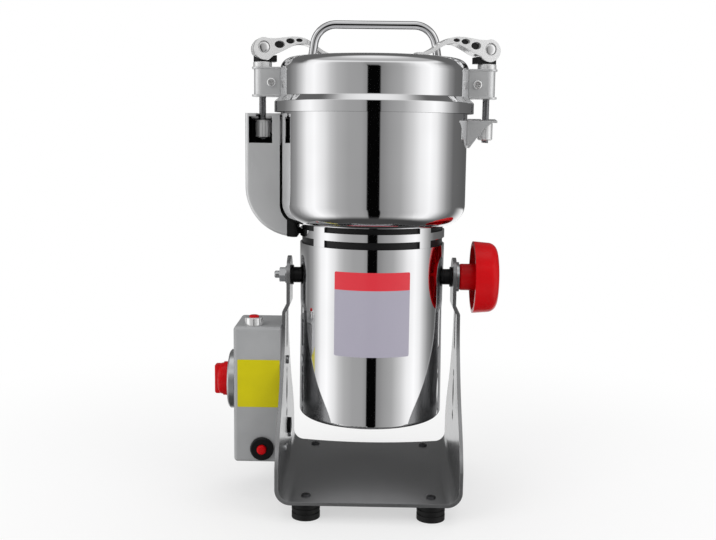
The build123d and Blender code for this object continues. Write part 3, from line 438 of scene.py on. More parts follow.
@dataclass(frozen=True)
class MouldedFinish:
    """Moulded plastic, rubber, paint or print.

    Args:
        name: Name of the material.
        colour: Its colour.
        roughness: Middle of its roughness.
        grain: Features of its skin to a metre.
        depth: Depth of the skin in metres.
        coat: Weight of a clear gloss on it.
        edge: Radius by which sharp edges are softened.
        metallic: How metallic the pigment is.
        gloss: Level of its gloss, where 0.5 is that of common plastic.
    """

    name: str
    colour: Colour
    roughness: float
    grain: float = 900.0
    depth: float = 0.00001
    coat: float = 0.0
    edge: float = 0.0004
    metallic: float = 0.0
    gloss: float = 0.5

    CLOUDS: ClassVar[float] = 45.0  # to a metre
    DULL: ClassVar[float] = 0.82  # what a cloud leaves of the colour

    @cache
    def material(self) -> bpy.types.Material:
        """Builds the material, once.

        Returns:
            The new material.
        """
        made, painter = new_material(self.name)
        vector, _, _, _ = painter.place()
        skin = painter.noise(vector, self.grain, 3.0)
        cloud = painter.noise(vector, self.CLOUDS)
        dull = tuple(channel * self.DULL for channel in self.colour)
        share = painter.ease(cloud, 0.3, 0.7) * 0.45 + skin * 0.1
        painter.surface(
            {
                "Base Color": painter.blend(share, self.colour, dull),
                "Metallic": self.metallic,
                "Specular IOR Level": self.gloss,
                "Roughness": self.roughness + (skin - 0.5) * 0.12 + (cloud - 0.5) * 0.1,
                "Coat Weight": self.coat,
                "Coat Roughness": 0.12,
                "Normal": painter.relief(skin, self.depth, self.edge),
            }
        )
        return made


class Finish(Enum):
    """Every plain finish of the mill."""

    POLISHED = MetalFinish(
        "mirror_steel", (0.80, 0.80, 0.81), 0.045, 0.012, Steel.SPUN, 1.2e-6, 0.0
    )
    STAND = MetalFinish(
        "blasted_steel", (0.345, 0.347, 0.352), 0.26, 0.018, Steel.BLASTED, 4e-6, 6e-4, 0.84
    )
    SHEET = MetalFinish(
        "brushed_sheet", (0.76, 0.765, 0.77), 0.36, 0.05, Steel.DRAWN, 3e-6, 5e-4, 0.7
    )
    NICKEL = MetalFinish("bright_nickel", (0.90,) * 3, 0.12, 0.05, Steel.PLAIN, 4e-6, 5e-4, 0.75)
    RIGHT_LEVER = LeverFinish(
        "right_plating", (0.92,) * 3, 0.15, 0.05, Steel.PLAIN, 4e-6, 8e-4, 0.5, Side.RIGHT
    )
    LEFT_LEVER = LeverFinish(
        "left_plating", (0.92,) * 3, 0.15, 0.05, Steel.PLAIN, 4e-6, 8e-4, 0.5, Side.LEFT
    )
    TURNED = MetalFinish("turned_steel", (0.86,) * 3, 0.26, 0.04, Steel.PLAIN, 4e-6, 6e-4, 0.6)
    TUBE = MetalFinish("polished_tube", (0.80, 0.80, 0.81), 0.05, 0.015, Steel.PLAIN, 3e-7, 0.0)
    ZINC = MetalFinish("zinc_plate", (0.66, 0.67, 0.68), 0.22, 0.05, Steel.PLAIN, 5e-6, 2e-4)
    PIN = MetalFinish("turned_pin", (0.88,) * 3, 0.17, 0.04, Steel.PLAIN, 4e-6, 4e-4)
    ROD = MetalFinish("rod_steel", (0.30, 0.30, 0.31), 0.20, 0.05, Steel.PLAIN, 3e-6, 2e-4)
    # Near-black painted shade: the foot screws are darkened to stand for the shade of the holes
    # they sit in.
    BLACKENED = MetalFinish(
        "screw_shade_steel", (0.09, 0.09, 0.095), 0.34, 0.05, Steel.PLAIN, 5e-6, 2e-4
    )
    GROUND = MetalFinish("ground_steel", (0.72, 0.73, 0.74), 0.20, 0.05, Steel.DRAWN, 3e-6, 2e-4)
    CAST = MetalFinish("cast_alloy", (0.60, 0.61, 0.62), 0.45, 0.08, Steel.BLASTED, 3e-5, 5e-4)
    COPPER = MetalFinish("copper_wire", (0.78, 0.36, 0.18), 0.30, 0.06, Steel.SPUN, 3e-5, 0.0)
    CORE = MetalFinish("laminated_core", (0.22, 0.23, 0.25), 0.42, 0.06, Steel.SPUN, 4e-5, 0.0)
    DIAL = MetalFinish("dial_face", (0.70, 0.71, 0.72), 0.30, 0.05, Steel.DRAWN, 3e-6, 3e-4)
    BOX = MouldedFinish("box_lacquer", (0.385, 0.39, 0.396), 0.40, 700.0, 1.2e-5, 0.15, 5e-4, 0.1)
    NOTICE = MouldedFinish(
        "notice_print", (0.60, 0.53, 0.0), 0.42, 800.0, 4e-6, edge=0.0, gloss=0.2
    )
    RED = MouldedFinish("red_moulding", (0.58, 0.0, 0.003), 0.24, 1100.0, 6e-6, gloss=0.2)
    BLACK = MouldedFinish(
        "black_moulding", (0.004, 0.004, 0.0045), 0.40, 1500.0, 2e-5, edge=3e-4, gloss=0.3
    )
    RUBBER = MouldedFinish("moulded_rubber", (0.005,) * 3, 0.60, 1300.0, 3e-5, gloss=0.3)
    SILICONE = MouldedFinish("seal_silicone", (0.72, 0.71, 0.68), 0.5, edge=3e-4)

    def dress(self, piece: Piece) -> None:
        """Gives a piece this finish in all its slots.

        Args:
            piece: The piece.
        """
        made = self.value.material()
        if not piece.material_slots:
            piece.data.materials.append(made)
        for slot in piece.material_slots:
            slot.material = made


FINISHES: dict[Finish, str] = {
    Finish.POLISHED: "motor_housing vent_collar grinding_bowl lid",
    Finish.STAND: "stand_frame",
    Finish.SHEET: "switch_guard hook_brackets clamp_brackets switch_box_plate",
    Finish.RIGHT_LEVER: "right_lever",
    Finish.LEFT_LEVER: "left_lever",
    Finish.NICKEL: "power_switch bracket_screws",
    Finish.PIN: "right_cross_pin left_cross_pin",
    Finish.ROD: "right_clamp_rod left_clamp_rod",
    Finish.TURNED: "right_barrel_nut left_barrel_nut cam_washers",
    Finish.TUBE: "lid_handle",
    # Foot screws near black as painted shade.
    Finish.BLACKENED: "foot_screws",
    Finish.ZINC: "box_screws timer_movement timer_spindle left_pivot_bolt left_pivot_nut "
    "lock_knob_washer motor_bearings motor_shaft blade_spacers",
    Finish.GROUND: "cutting_blades sweep_blade blade_nut",
    Finish.CAST: "bearing_brackets cooling_fan",
    Finish.COPPER: "field_coils commutator",
    Finish.CORE: "stator_core armature_core",
    Finish.DIAL: "timer_dial",
    Finish.BOX: "switch_box_cover",
    Finish.RED: "timer_knob power_button reset_button lock_knob",
    Finish.BLACK: "overload_breaker reset_bezel cord_gland pivot_bosses pivot_washers "
    "motor_sleeve carbon_brushes safety_switch cam_saddles",
    Finish.RUBBER: "rubber_feet arm_grommet shaft_seal duct_bush",
    Finish.SILICONE: "lid_seal",
}


class Bench:
    """Modelling by hand with Blender's operators, one piece at a time."""

    @staticmethod
    def clear() -> None:
        """Leaves edit mode and deselects everything."""
        if bpy.context.object and bpy.context.object.mode != "OBJECT":
            bpy.ops.object.mode_set(mode="OBJECT")
        bpy.ops.object.select_all(action="DESELECT")

    @staticmethod
    def named(name: str) -> Piece:
        """Names the piece that was just added and puts its place into its mesh.

        Args:
            name: The piece's name.

        Returns:
            The piece.
        """
        piece = bpy.context.object
        piece.name = name
        piece.data.name = name
        bpy.ops.object.transform_apply(location=True, rotation=True, scale=True)
        return piece

    @staticmethod
    def card(name: str, across: Span, up: Span, face: float, corner: float, arc: int) -> Piece:
        """Cuts a flat upright card that faces the front.

        Args:
            name: The card's name.
            across: Left and right edge.
            up: Lower and upper edge.
            face: Where it stands in Y.
            corner: Radius of its corners.
            arc: Straight runs that a corner is made of.

        Returns:
            The card.
        """
        Bench.clear()
        middle = (sum(across) / 2, face, sum(up) / 2)
        bpy.ops.mesh.primitive_plane_add(size=1.0, rotation=UPRIGHT, location=middle)
        bpy.context.object.scale = (across[1] - across[0], up[1] - up[0], 1.0)
        card = Bench.named(name)
        shape = {"width": corner, "segments": arc}
        Bench.apply(card, "BEVEL", affect="VERTICES", limit_method="NONE", **shape)
        return card

    @staticmethod
    def apply(piece: Piece, kind: str, **settings: object) -> None:
        """Adds a modifier and applies it.

        Args:
            piece: The piece.
            kind: Blender's name of the modifier's type.
            settings: The modifier's settings.
        """
        bpy.context.view_layer.objects.active = piece
        modifier = piece.modifiers.new(kind.lower(), kind)
        for key, value in settings.items():
            setattr(modifier, key, value)
        bpy.ops.object.modifier_apply(modifier=modifier.name)

    @staticmethod
    def reshape(piece: Piece, move: Callable[[Vector], Vector]) -> None:
        """Moves every point of a piece.

        Args:
            piece: The piece.
            move: Gives a point's new place.
        """
        for vertex in piece.data.vertices:
            vertex.co = move(vertex.co)
        piece.data.update()

    @staticmethod
    def copied(node: str, name: str) -> Piece:
        """Copies a CAD node's mesh and joins its loose triangles to flat faces.

        Args:
            node: The node.
            name: The copy's name.

        Returns:
            The copy, active and selected.
        """
        piece = bpy.data.objects.new(name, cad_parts[node].data.copy())
        piece.data.name = name
        bpy.context.scene.collection.objects.link(piece)
        piece.select_set(True)
        bpy.context.view_layer.objects.active = piece
        bpy.ops.object.mode_set(mode="EDIT")
        bpy.ops.mesh.select_all(action="SELECT")
        bpy.ops.mesh.remove_doubles(threshold=1e-6)
        bpy.ops.mesh.dissolve_limited(angle_limit=math.radians(0.5))
        bpy.ops.object.mode_set(mode="OBJECT")
        return piece

    @staticmethod
    def smooth(piece: Piece, degrees: float = 35.0) -> None:
        """Shades a piece smooth.

        Args:
            piece: The piece.
            degrees: Angle between faces past which their edge stays sharp.
        """
        Bench.clear()
        piece.select_set(True)
        bpy.context.view_layer.objects.active = piece
        bpy.ops.object.shade_smooth_by_angle(angle=math.radians(degrees))

    @staticmethod
    def outward(piece: Piece) -> None:
        """Merges a piece's doubles and turns all its faces outwards.

        Args:
            piece: The piece.
        """
        shape = bmesh.new()
        shape.from_mesh(piece.data)
        bmesh.ops.remove_doubles(shape, verts=shape.verts, dist=1e-7)
        bmesh.ops.recalc_face_normals(shape, faces=shape.faces)
        shape.to_mesh(piece.data)
        shape.free()


@dataclass
class Studio:
    """Camera, lamps, world and floor.

    Args:
        distance: From the mill's axis plane to the camera.
        height: Height of the camera.
        lens: Focal length in millimetres.
        pitch: Degrees that the camera looks down.
        pan: Degrees that it looks to the right.
        roll: Degrees that it is tilted.
    """

    distance: float = 0.7774
    height: float = 0.2948
    lens: float = 49.03
    pitch: float = 8.209
    pan: float = -0.81
    roll: float = 0.716

    SENSOR: ClassVar[float] = 36.0  # millimetres wide
    AIM: ClassVar[Point] = (0.0, 0.0, 0.18)
    # Name, place, size and power of each lamp.
    LAMPS: ClassVar[tuple[tuple[str, Point, float, float], ...]] = (
        ("left_lamp", (-0.9, -0.9, 0.9), 0.9, 6.4),
        ("right_lamp", (1.0, -0.7, 0.7), 0.8, 4.2),
        ("top_lamp", (0.1, 0.2, 1.3), 1.0, 5.0),
    )

    EVEN: ClassVar[float] = 0.60  # light of the world on what isn't a mirror
    WHITE: ClassVar[Colour] = (1.0, 1.0, 1.0)

    # What mirrors see, in tones that polished steel shows. The bands go by degrees from the
    # front to the right, and the roof by the rise. A span is where a direction gets its tone.
    BANDS: ClassVar[tuple[Span, ...]] = (
        (-180, 0.36), (-150, 0.36), (-123, 0.44), (-109, 0.58), (-98, 0.78), (-88, 0.95),
        (-76, 1.0), (-61, 0.88), (-53, 0.76), (-44, 0.67), (-30, 0.61), (-14, 0.60),
        (-8.2, 0.55), (-7.2, 0.05), (7.4, 0.05), (8.4, 0.50), (19, 0.58), (33, 0.645),
        (48, 0.81), (58, 0.93), (72, 1.0), (82, 0.93), (91, 0.76), (102, 0.55),
        (114, 0.40), (150, 0.34), (180, 0.36),
    )
    ROOF: ClassVar[tuple[Span, ...]] = (
        (0.0, 0.62), (0.35, 0.80), (0.62, 0.98), (0.74, 0.66), (0.9, 0.72), (1.0, 0.92),
    )
    ROOF_RISE: ClassVar[Span] = (0.45, 0.7)
    LEAN: ClassVar[float] = 0.018  # turns by which the bands lean as a direction rises
    LEAN_END: ClassVar[float] = -0.3  # the rise under which they lean no further
    STRIP_END: ClassVar[float] = 0.52  # the least tone over the dark strip in front
    STRIP_RISE: ClassVar[Span] = (0.18, 0.32)
    STRIP_FRONT: ClassVar[Span] = (0.2, 0.6)
    GROUND: ClassVar[float] = 0.26
    GROUND_DROP: ClassVar[Span] = (0.60, 0.85)
    LOFT: ClassVar[float] = 0.38  # high at the rear
    LOFT_REAR: ClassVar[Span] = (0.08, 0.32)
    LOFT_RISE: ClassVar[Span] = (0.3, 0.5)
    BEHIND: ClassVar[float] = 0.93  # low at the rear
    BEHIND_REAR: ClassVar[Span] = (0.50, 0.93)
    BEHIND_DROP: ClassVar[Span] = (0.11, 0.17)

    FLOOR_SIZE: ClassVar[float] = 8.0
    FLOOR_TONE: ClassVar[float] = 0.86
    FLOOR_FADE: ClassVar[Span] = (0.12, 0.55)  # radii between which it fades to white
    FLOOR_WHITE: ClassVar[float] = 0.55  # share of white under the mill

    def camera(self) -> None:
        """Places the camera."""
        pitch, pan, roll = (math.radians(turn) for turn in (self.pitch, self.pan, self.roll))
        forward = Vector(
            (math.sin(pan) * math.cos(pitch), math.cos(pan) * math.cos(pitch), -math.sin(pitch))
        )
        right = Vector((math.cos(pan), -math.sin(pan), 0.0))
        up = right.cross(forward)
        tilted_right = right * math.cos(roll) + up * math.sin(roll)
        tilted_up = up * math.cos(roll) - right * math.sin(roll)
        turn = Matrix((tilted_right, tilted_up, -forward)).transposed().to_4x4()
        data = bpy.data.cameras.new("camera")
        data.lens = self.lens
        data.sensor_width = self.SENSOR
        data.clip_start = 0.05
        camera = bpy.data.objects.new("camera", data)
        bpy.context.scene.collection.objects.link(camera)
        camera.matrix_world = Matrix.Translation((AXIS_X, -self.distance, self.height)) @ turn
        bpy.context.scene.camera = camera

    def lamps(self) -> None:
        """Hangs three soft lamps that mirrors don't show."""
        for name, place, size, power in self.LAMPS:
            data = bpy.data.lights.new(name, "AREA")
            data.size = size
            data.energy = power
            lamp = bpy.data.objects.new(name, data)
            bpy.context.scene.collection.objects.link(lamp)
            lamp.location = place
            aim = Vector(self.AIM) - Vector(place)
            lamp.rotation_mode = "QUATERNION"
            lamp.rotation_quaternion = aim.to_track_quat("-Z", "Y")
            lamp.visible_glossy = False

    def world(self) -> None:
        """Fills the world: white to the camera, bands of a studio to mirrors, and even light."""
        world = bpy.data.worlds.new("studio")
        world.use_nodes = True
        bpy.context.scene.world = world
        painter = Painter(world.node_tree)
        seen = self._seen(painter)
        camera = painter.node("ShaderNodeLightPath", out="Is Camera Ray")
        glossy = painter.node("ShaderNodeLightPath", out="Is Glossy Ray")
        colour = painter.blend(glossy, (self.EVEN,) * 3, seen)
        colour = painter.blend(camera, colour, self.WHITE)
        back = painter.node("ShaderNodeBackground", {}, {"Color": colour, "Strength": 1.0})
        painter.node("ShaderNodeOutputWorld", {}, {"Surface": back})
        world.cycles.sampling_method = "NONE"

    def _seen(self, painter: Painter) -> Wire:
        """What mirrors see of the world.

        Args:
            painter: The world's painter.

        Returns:
            Its colour.
        """
        x, y, rise = painter.apart(painter.node("ShaderNodeTexCoord", out="Generated"))
        front, drop = 0.0 - y, 0.0 - rise
        lean = rise.most(self.LEAN_END) * self.LEAN
        around = x.angle(front) / (2.0 * math.pi) + 0.5 + lean
        stops = [(degrees / 360.0 + 0.5, self.light(tone)) for degrees, tone in self.BANDS]
        bands = painter.node("ShaderNodeValToRGB", {"stops": stops}, {"Fac": around})
        stops = [(place, self.light(tone)) for place, tone in self.ROOF]
        roof = painter.node("ShaderNodeValToRGB", {"stops": stops}, {"Fac": rise})
        over = painter.ease(rise, *self.STRIP_RISE) * painter.ease(front, *self.STRIP_FRONT)
        seen = painter.blend(over, bands, bands.most(self.light(self.STRIP_END)))
        seen = painter.blend(painter.ease(rise, *self.ROOF_RISE), seen, roof)
        loft = painter.ease(y, *self.LOFT_REAR) * painter.ease(rise, *self.LOFT_RISE)
        behind = painter.ease(y, *self.BEHIND_REAR) * painter.ease(drop, *self.BEHIND_DROP)
        for share, tone in (
            (painter.ease(drop, *self.GROUND_DROP), self.GROUND),
            (loft, self.LOFT),
            (behind, self.BEHIND),
        ):
            seen = painter.blend(share, seen, (self.light(tone),) * 3)
        return seen

    @staticmethod
    def light(tone: float) -> float:
        """Light that polished steel throws back as a tone from black, 0, to white, 1."""
        return tone**2.2 / 0.8

    def floor(self) -> None:
        """Lays a pale floor that fades to white and keeps the shadow."""
        Bench.clear()
        bpy.ops.mesh.primitive_plane_add(size=self.FLOOR_SIZE, location=(0.0, 0.0, 0.0))
        floor = Bench.named("floor")
        made, painter = new_material("floor_paint")
        _, x, y, _ = painter.place()
        radius = (x**2.0 + y**2.0) ** 0.5
        camera = painter.node("ShaderNodeLightPath", out="Is Camera Ray")
        matt = painter.node("ShaderNodeBsdfDiffuse", {}, {"Color": (self.FLOOR_TONE,) * 3})
        white = painter.node("ShaderNodeEmission", {}, {"Color": self.WHITE, "Strength": 1.0})
        fade = painter.ease(radius, *self.FLOOR_FADE)
        share = fade * (1.0 - self.FLOOR_WHITE) + self.FLOOR_WHITE
        mixed = painter.node("ShaderNodeMixShader", {}, {0: camera * share, 1: matt, 2: white})
        painter.node("ShaderNodeOutputMaterial", {}, {"Surface": mixed})
        floor.data.materials.append(made)
        floor.visible_glossy = False

    def build(self) -> None:
        """Sets the whole studio up."""
        self.camera()
        self.lamps()
        self.world()
        self.floor()
        bpy.context.scene.view_settings.view_transform = "Standard"


@dataclass
class RatingPlate:
    """Bare printed plate on the front of the motor housing.

    Args:
        left: Left edge along the wall, from the axis.
        right: Right edge.
        low: Lower edge.
        high: Upper edge.
        header: Height at which the coloured header starts.
        radius: Radius of the wall it sits on.
        corner: Radius of its corners.
    """

    left: float = -0.0290
    right: float = 0.0304
    low: float = 0.1240
    high: float = 0.1887
    header: float = 0.1750
    radius: float = 0.0575
    corner: float = 0.0012

    COLUMNS: ClassVar[int] = 40  # flat strips that the bent plate is made of
    BLUR: ClassVar[float] = 0.0001  # of the header's lower edge
    FIBRES: ClassVar[float] = 700.0  # to a metre
    FIELD: ClassVar[tuple[Colour, Colour]] = ((0.40, 0.38, 0.46), (0.36, 0.345, 0.42))
    HEADER: ClassVar[tuple[Colour, Colour]] = ((0.72, 0.023, 0.04), (0.63, 0.016, 0.03))

    def build(self) -> Piece:
        """Cuts the plate flat with round corners, divides it and bends it round the wall.

        Returns:
            The plate.
        """
        across, up = (self.left, self.right), (self.low, self.high)
        plate = Bench.card("rating_plate", across, up, 0.0, self.corner, 4)
        bpy.ops.object.mode_set(mode="EDIT")
        for step in range(1, self.COLUMNS):
            bpy.ops.mesh.select_all(action="SELECT")
            place = self.left + (self.right - self.left) * step / self.COLUMNS
            bpy.ops.mesh.bisect(plane_co=(place, 0.0, 0.0), plane_no=(1.0, 0.0, 0.0))
        bpy.ops.object.mode_set(mode="OBJECT")
        out = self.radius + FILM_GAP

        def wrap(point: Vector) -> Vector:
            """Lays a flat point on the wall."""
            turn = point.x / self.radius
            return Vector((AXIS_X + out * math.sin(turn), -out * math.cos(turn), point.z))

        Bench.reshape(plate, wrap)
        Bench.apply(plate, "SOLIDIFY", thickness=FILM, offset=1.0)
        plate.data.materials.append(self._printed())
        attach(plate, "mill")
        return plate

    def _printed(self) -> bpy.types.Material:
        """Prints the header and the plain field.

        Returns:
            The material.
        """
        made, painter = new_material("rating_plate_print")
        vector, _, _, z = painter.place()
        head = painter.ease(z, self.header - self.BLUR, self.header + self.BLUR)
        fibre = painter.noise(vector, self.FIBRES, 3.0)
        field = painter.blend(fibre * 0.4, *self.FIELD)
        header = painter.blend(fibre * 0.4, *self.HEADER)
        painter.surface(
            {
                "Base Color": painter.blend(head, field, header),
                "Roughness": 0.36 + (fibre - 0.5) * 0.15,
                "Coat Weight": 0.3,
                "Coat Roughness": 0.2,
                "Normal": painter.relief(fibre, 0.000004),
            }
        )
        return made


@dataclass
class NoticePlate:
    """Bare yellow plate on the front of the switch box.

    Args:
        left: From the box's left side to the plate.
        right: From the plate to the box's right side.
        low: From the box's underside to the plate.
        high: From the plate to the box's top.
        corner: Radius of its corners.
    """

    left: float = 0.0032
    right: float = 0.0006
    low: float = 0.0457
    high: float = 0.0265
    corner: float = 0.0006

    def build(self) -> Piece:
        """Cuts the plate with round corners and gives it its film.

        Returns:
            The plate.
        """
        (box_left, face, box_low), (box_right, _, box_top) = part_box("switch_box_cover")
        across = (box_left + self.left, box_right - self.right)
        up = (box_low + self.low, box_top - self.high)
        plate = Bench.card("notice_plate", across, up, face - FILM_GAP, self.corner, 3)
        Bench.apply(plate, "SOLIDIFY", thickness=FILM, offset=1.0)
        Finish.NOTICE.dress(plate)
        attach(plate, "stand")
        return plate


@dataclass
class TimerScale:
    """Printed scale of the timer: ticks round the dial and the numbers 0 to 5.

    Args:
        face: From the rim of the dial in to its face.
        inner: Radius at which the long ticks start.
        outer: Radius at which all ticks end.
        short: How much shorter the other ticks are.
        width: Width of a tick.
        numbers: Radius of the numbers' middles.
        letter: Size of the numbers.
        sweep: Degrees from the first number to the last.
        film: Thickness of the print.
    """

    face: float = 0.0008
    inner: float = 0.0182
    outer: float = 0.0206
    short: float = 0.0008
    width: float = 0.0005
    numbers: float = 0.0161
    letter: float = 0.0040
    sweep: float = 300.0
    film: float = 0.00012

    COUNT: ClassVar[int] = 6  # numbers
    PARTS: ClassVar[int] = 4  # from one number to the next

    def build(self) -> Piece:
        """Models the ticks and the numbers, lays them on the dial and joins them.

        Returns:
            The scale.
        """
        last = self.PARTS * (self.COUNT - 1)
        pieces = [self._tick(step) for step in range(last + 1)]
        pieces += [self._number(number) for number in range(self.COUNT)]
        Bench.clear()
        for piece in pieces:
            piece.select_set(True)
        bpy.context.view_layer.objects.active = pieces[0]
        bpy.ops.object.join()
        scale = Bench.named("timer_scale")
        Bench.outward(scale)
        Finish.BLACK.dress(scale)
        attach(scale, "stand")
        return scale

    def _angle(self, number: float) -> float:
        """Angle of a number from straight up, turning to the rear."""
        return math.radians(self.sweep * (number / (self.COUNT - 1) - 0.5))

    def _lay(self, piece: Piece, reach: float, angle: float, own: float) -> None:
        """Lays a piece on the dial that is drawn in X and Y, with its thickness in Z.

        Args:
            piece: The piece, drawn round the origin.
            reach: From the dial's middle to the piece's.
            angle: Angle of its place from straight up.
            own: Angle by which it is turned itself.
        """
        (rim, front, low), (_, rear, high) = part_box("timer_dial")
        centre = Vector((rim + self.face, (front + rear) / 2, (low + high) / 2))
        aside, above = -reach * math.sin(angle), reach * math.cos(angle)

        def lay(point: Vector) -> Vector:
            """Place on the dial of a point of the drawing, whose Y becomes up."""
            along, up = Matrix.Rotation(-own, 2) @ point.xy
            return centre + Vector((-point.z, aside - along, above + up))

        Bench.reshape(piece, lay)

    def _tick(self, step: int) -> Piece:
        """Models one tick, a thin bar with eased edges.

        Args:
            step: Its place among the ticks, from 0.

        Returns:
            The tick.
        """
        start = self.inner + (self.short if step % self.PARTS else 0.0)
        Bench.clear()
        bpy.ops.mesh.primitive_cube_add(size=1.0)
        bpy.context.object.scale = (self.width, self.outer - start, self.film)
        tick = Bench.named("tick")
        Bench.apply(tick, "BEVEL", width=self.film / 3, segments=1, limit_method="NONE")
        angle = self._angle(step / self.PARTS)
        self._lay(tick, (start + self.outer) / 2, angle, angle)
        return tick

    def _number(self, number: int) -> Piece:
        """Models one number, which stays upright on the dial.

        Args:
            number: The number.

        Returns:
            The piece.
        """
        Bench.clear()
        bpy.ops.object.text_add()
        text = bpy.context.object.data
        text.body = str(number)
        text.size = self.letter
        text.align_x = "CENTER"
        text.align_y = "CENTER"
        text.extrude = self.film / 2
        text.resolution_u = 4
        bpy.ops.object.convert(target="MESH")
        piece = Bench.named("number")
        self._lay(piece, self.numbers, self._angle(number), 0.0)
        return piece


@dataclass
class RolledGuard:
    """Guard of the safety switch, with rolled outer edges and its inside painted black as painted
    shade.

    Args:
        half: Half of its depth.
        roll: Radius of the rolled edges.
        wall: Thickness of its sheet.
        window: Left edge and lower edge of the window in its front.
    """

    half: float = 0.0160
    roll: float = 0.0028
    wall: float = 0.0015
    window: Span = (-0.0845, 0.280)

    SLACK: ClassVar[float] = 1e-4  # by which a point of the inside may be off
    # Limits of a normal's parts: across a flat wall, along a round one, and where it faces out.
    FLAT: ClassVar[float] = 0.9
    ALONG: ClassVar[float] = 0.1
    LEFTWARD: ClassVar[float] = -0.05
    DOWNWARD: ClassVar[float] = -0.2

    def build(self) -> Piece:
        """Copies the sheet-metal shell, paints its inside black as painted shade and rolls its
        outer edges.

        Returns:
            The guard.
        """
        Bench.clear()
        guard = Bench.copied("switch_guard", "rolled_guard")
        Finish.SHEET.dress(guard)
        # The black second slot is painted shade on the inside of the metal shell.
        guard.data.materials.append(Finish.BLACK.value.material())
        deep = self.half - self.wall + self.SLACK
        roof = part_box("switch_guard")[1][2] - self.wall + self.SLACK
        bpy.ops.object.mode_set(mode="EDIT")
        bpy.ops.mesh.select_mode(type="EDGE")
        shape = bmesh.from_edit_mesh(guard.data)
        for face in shape.faces:
            places = [corner.co for corner in face.verts]
            inside = all(abs(place.y) < deep and place.z < roof for place in places)
            face.material_index = int(inside)
        for edge in shape.edges:
            edge.select_set(self._rolled(edge))
        bmesh.update_edit_mesh(guard.data)
        bpy.ops.mesh.bevel(offset=self.roll, segments=5, affect="EDGES")
        bpy.ops.object.mode_set(mode="OBJECT")
        Bench.smooth(guard)
        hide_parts("switch_guard")
        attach(guard, "mill")
        return guard

    def _rolled(self, edge: bmesh.types.BMEdge) -> bool:
        """Tells whether an edge runs round the outer wall.

        Args:
            edge: The edge.

        Returns:
            Whether it is rolled.
        """
        left, low = self.window
        off = any(abs(abs(end.co.y) - self.half) > 1e-5 for end in edge.verts)
        if off or len(edge.link_faces) != 2:
            return False
        normals = (face.normal for face in edge.link_faces)
        flat, turned = sorted(normals, key=lambda normal: -abs(normal.y))
        middle = (edge.verts[0].co + edge.verts[1].co) / 2
        in_window = middle.x > left and middle.z > low
        faces_out = turned.x < self.LEFTWARD or turned.z < self.DOWNWARD
        meets = abs(flat.y) > self.FLAT and abs(turned.y) < self.ALONG
        return meets and faces_out and not in_window


@dataclass
class LowSwitch:
    """Barrel and cap of the power switch, turned down to stand low on the box.

    Args:
        barrel: Height of the barrel over its collar.
        cap: Height of the cap over the barrel.
        lift: Gap between the box and the barrel's collar.
    """

    barrel: float = 0.0062
    cap: float = 0.0014
    lift: float = 0.0001

    def build(self) -> Piece:
        """Copies barrel and cap and lowers them.

        Returns:
            The cap.
        """
        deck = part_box("switch_box_cover")[1][2] + self.lift
        barrel = self._lowered("power_switch", "low_barrel", deck, deck + self.barrel)
        Finish.NICKEL.dress(barrel)
        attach(barrel, "stand")
        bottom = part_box("power_button")[0][2]
        cap = self._lowered("power_button", "low_cap", bottom, deck + self.barrel + self.cap)
        Finish.RED.dress(cap)
        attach(cap, "power")
        return cap

    @staticmethod
    def _lowered(node: str, name: str, foot: float, head: float) -> Piece:
        """Copies a node and presses what is over a foot together.

        Args:
            node: The node.
            name: The copy's name.
            foot: Height that stays where it is, with all under it.
            head: Height at which the copy ends.

        Returns:
            The copy.
        """
        Bench.clear()
        piece = Bench.copied(node, name)
        share = (head - foot) / (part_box(node)[1][2] - foot)

        def lower(point: Vector) -> Vector:
            """New place of a point."""
            rise = max(0.0, point.z - foot)
            return Vector((point.x, point.y, point.z - rise * (1.0 - share)))

        Bench.reshape(piece, lower)
        Bench.smooth(piece)
        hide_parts(node)
        return piece


@dataclass
class DomedPin:
    """Cross pin of a lever, with a low dome turned on each end.

    Args:
        side: The pin's side.
        radius: Radius of the pin.
        half: Half of its length between the domes.
        ease: Radius of its eased rims.
    """

    side: Side
    radius: float = 0.0046
    half: float = 0.0058
    ease: float = 0.0003

    # How far each ring of the dome steps in, and how far it rises.
    DOME: ClassVar[tuple[Span, ...]] = (
        (0.0002, 0.00035),
        (0.0004, 0.00040),
        (0.0008, 0.00035),
        (0.0012, 0.00020),
        (0.0012, 0.00008),
    )

    def build(self) -> Piece:
        """Turns the pin: a round bar whose ends are domed in rings.

        Returns:
            The pin.
        """
        Bench.clear()
        bpy.ops.mesh.primitive_cylinder_add(
            vertices=64, radius=self.radius, depth=2.0 * self.half, rotation=UPRIGHT
        )
        pin = Bench.named(f"{self.side.word}_domed_pin")
        bpy.context.scene.tool_settings.mesh_select_mode = (False, False, True)
        for face in pin.data.polygons:
            face.select = abs(face.normal.y) > 0.9
        bpy.ops.object.mode_set(mode="EDIT")
        for inward, depth in self.DOME:
            bpy.ops.mesh.inset(thickness=inward, depth=depth)
        bpy.ops.object.mode_set(mode="OBJECT")
        rims = {"limit_method": "ANGLE", "angle_limit": math.radians(50.0)}
        Bench.apply(pin, "BEVEL", width=self.ease, segments=3, **rims)
        turn = Matrix.Rotation(LEVER_YAW, 3, "Z")
        place = self.side.clamp_at(PIN_HEIGHT)
        Bench.reshape(pin, lambda point: turn @ point + place)
        Bench.smooth(pin, 40.0)
        Finish.PIN.dress(pin)
        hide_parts(f"{self.side.word}_cross_pin")
        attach(pin, f"{self.side.word}_clamp")
        return pin


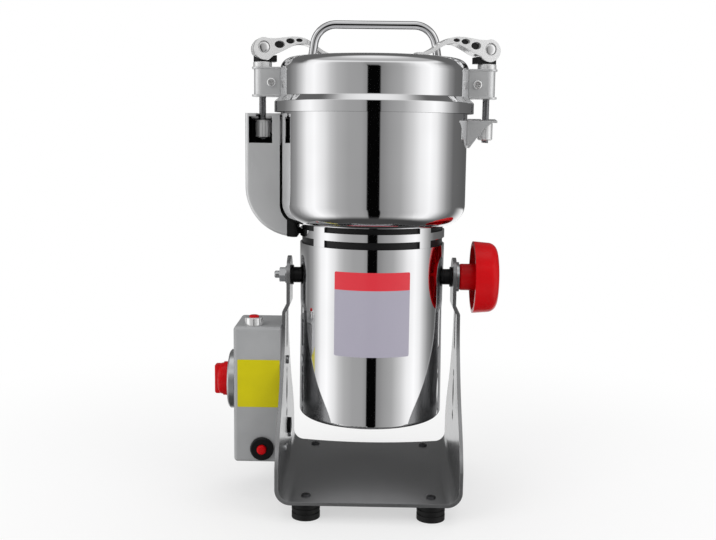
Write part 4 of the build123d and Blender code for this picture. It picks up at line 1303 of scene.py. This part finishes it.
@dataclass
class RodThread:
    """Thread that is cut on a clamp's rod, as one ridge wound round it.

    Args:
        side: The rod's side.
        low: Where the thread starts.
        high: Where it ends.
        pitch: Rise of one turn.
        thick: Share of the pitch that the ridge takes up at its foot.
        core: Radius that the ridge starts from.
        sunk: How deep the ridge's foot is sunk in the rod.
        crest: Radius of the ridge's crest.
    """

    side: Side
    low: float = 0.2856
    high: float = 0.3195
    pitch: float = 0.0010
    thick: float = 0.84
    core: float = 0.00242
    sunk: float = 0.0001
    crest: float = 0.00288

    def build(self) -> Piece:
        """Turns a flat kite round the rod and closes the ridge's ends.

        Returns:
            The thread.
        """
        Bench.clear()
        bpy.ops.mesh.primitive_circle_add(vertices=4, radius=1.0, fill_type="NGON")
        thread = Bench.named(f"{self.side.word}_rod_thread")
        half = self.pitch * self.thick / 2

        def section(point: Vector) -> Vector:
            """Shapes the square, one unit from middle to corner, into the section in X and Z."""
            foot = self.core - self.sunk * (abs(point.y) < 0.5)
            return Vector((foot + max(0.0, point.x) * (self.crest - foot), 0.0, point.y * half))

        Bench.reshape(thread, section)
        bpy.ops.object.mode_set(mode="EDIT")
        bpy.ops.mesh.select_all(action="SELECT")
        bpy.ops.mesh.delete(type="ONLY_FACE")
        bpy.ops.object.mode_set(mode="OBJECT")
        turns = int((self.high - self.low) / self.pitch)
        wind = {"axis": "Z", "angle": 2.0 * math.pi, "screw_offset": self.pitch}
        detail = {"steps": 20, "render_steps": 20, "use_smooth_shade": True}
        Bench.apply(thread, "SCREW", iterations=turns, **wind, **detail)
        bpy.ops.object.mode_set(mode="EDIT")
        bpy.ops.mesh.select_all(action="SELECT")
        bpy.ops.mesh.fill_holes(sides=6)
        bpy.ops.object.mode_set(mode="OBJECT")
        Bench.outward(thread)
        place = self.side.clamp_at(self.low)
        Bench.reshape(thread, lambda point: point + place)
        Finish.ROD.dress(thread)
        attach(thread, f"{self.side.word}_clamp")
        return thread


def dress_frame() -> None:
    """Gives every CAD node its finish."""
    for finish, names in FINISHES.items():
        for name in names.split():
            finish.dress(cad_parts[name])


def main() -> None:
    """Builds the studio and every piece in order."""
    logging.basicConfig(level=logging.INFO, format="%(name)s: %(message)s")
    Studio().build()
    dress_frame()
    makers = [RatingPlate(), NoticePlate(), TimerScale(), RolledGuard(), LowSwitch()]
    makers += [DomedPin(side) for side in Side] + [RodThread(side) for side in Side]
    for maker in makers:
        piece = maker.build()
        LOG.info("%s has %d faces", piece.name, len(piece.data.polygons))


if __name__ == "__main__":
    main()
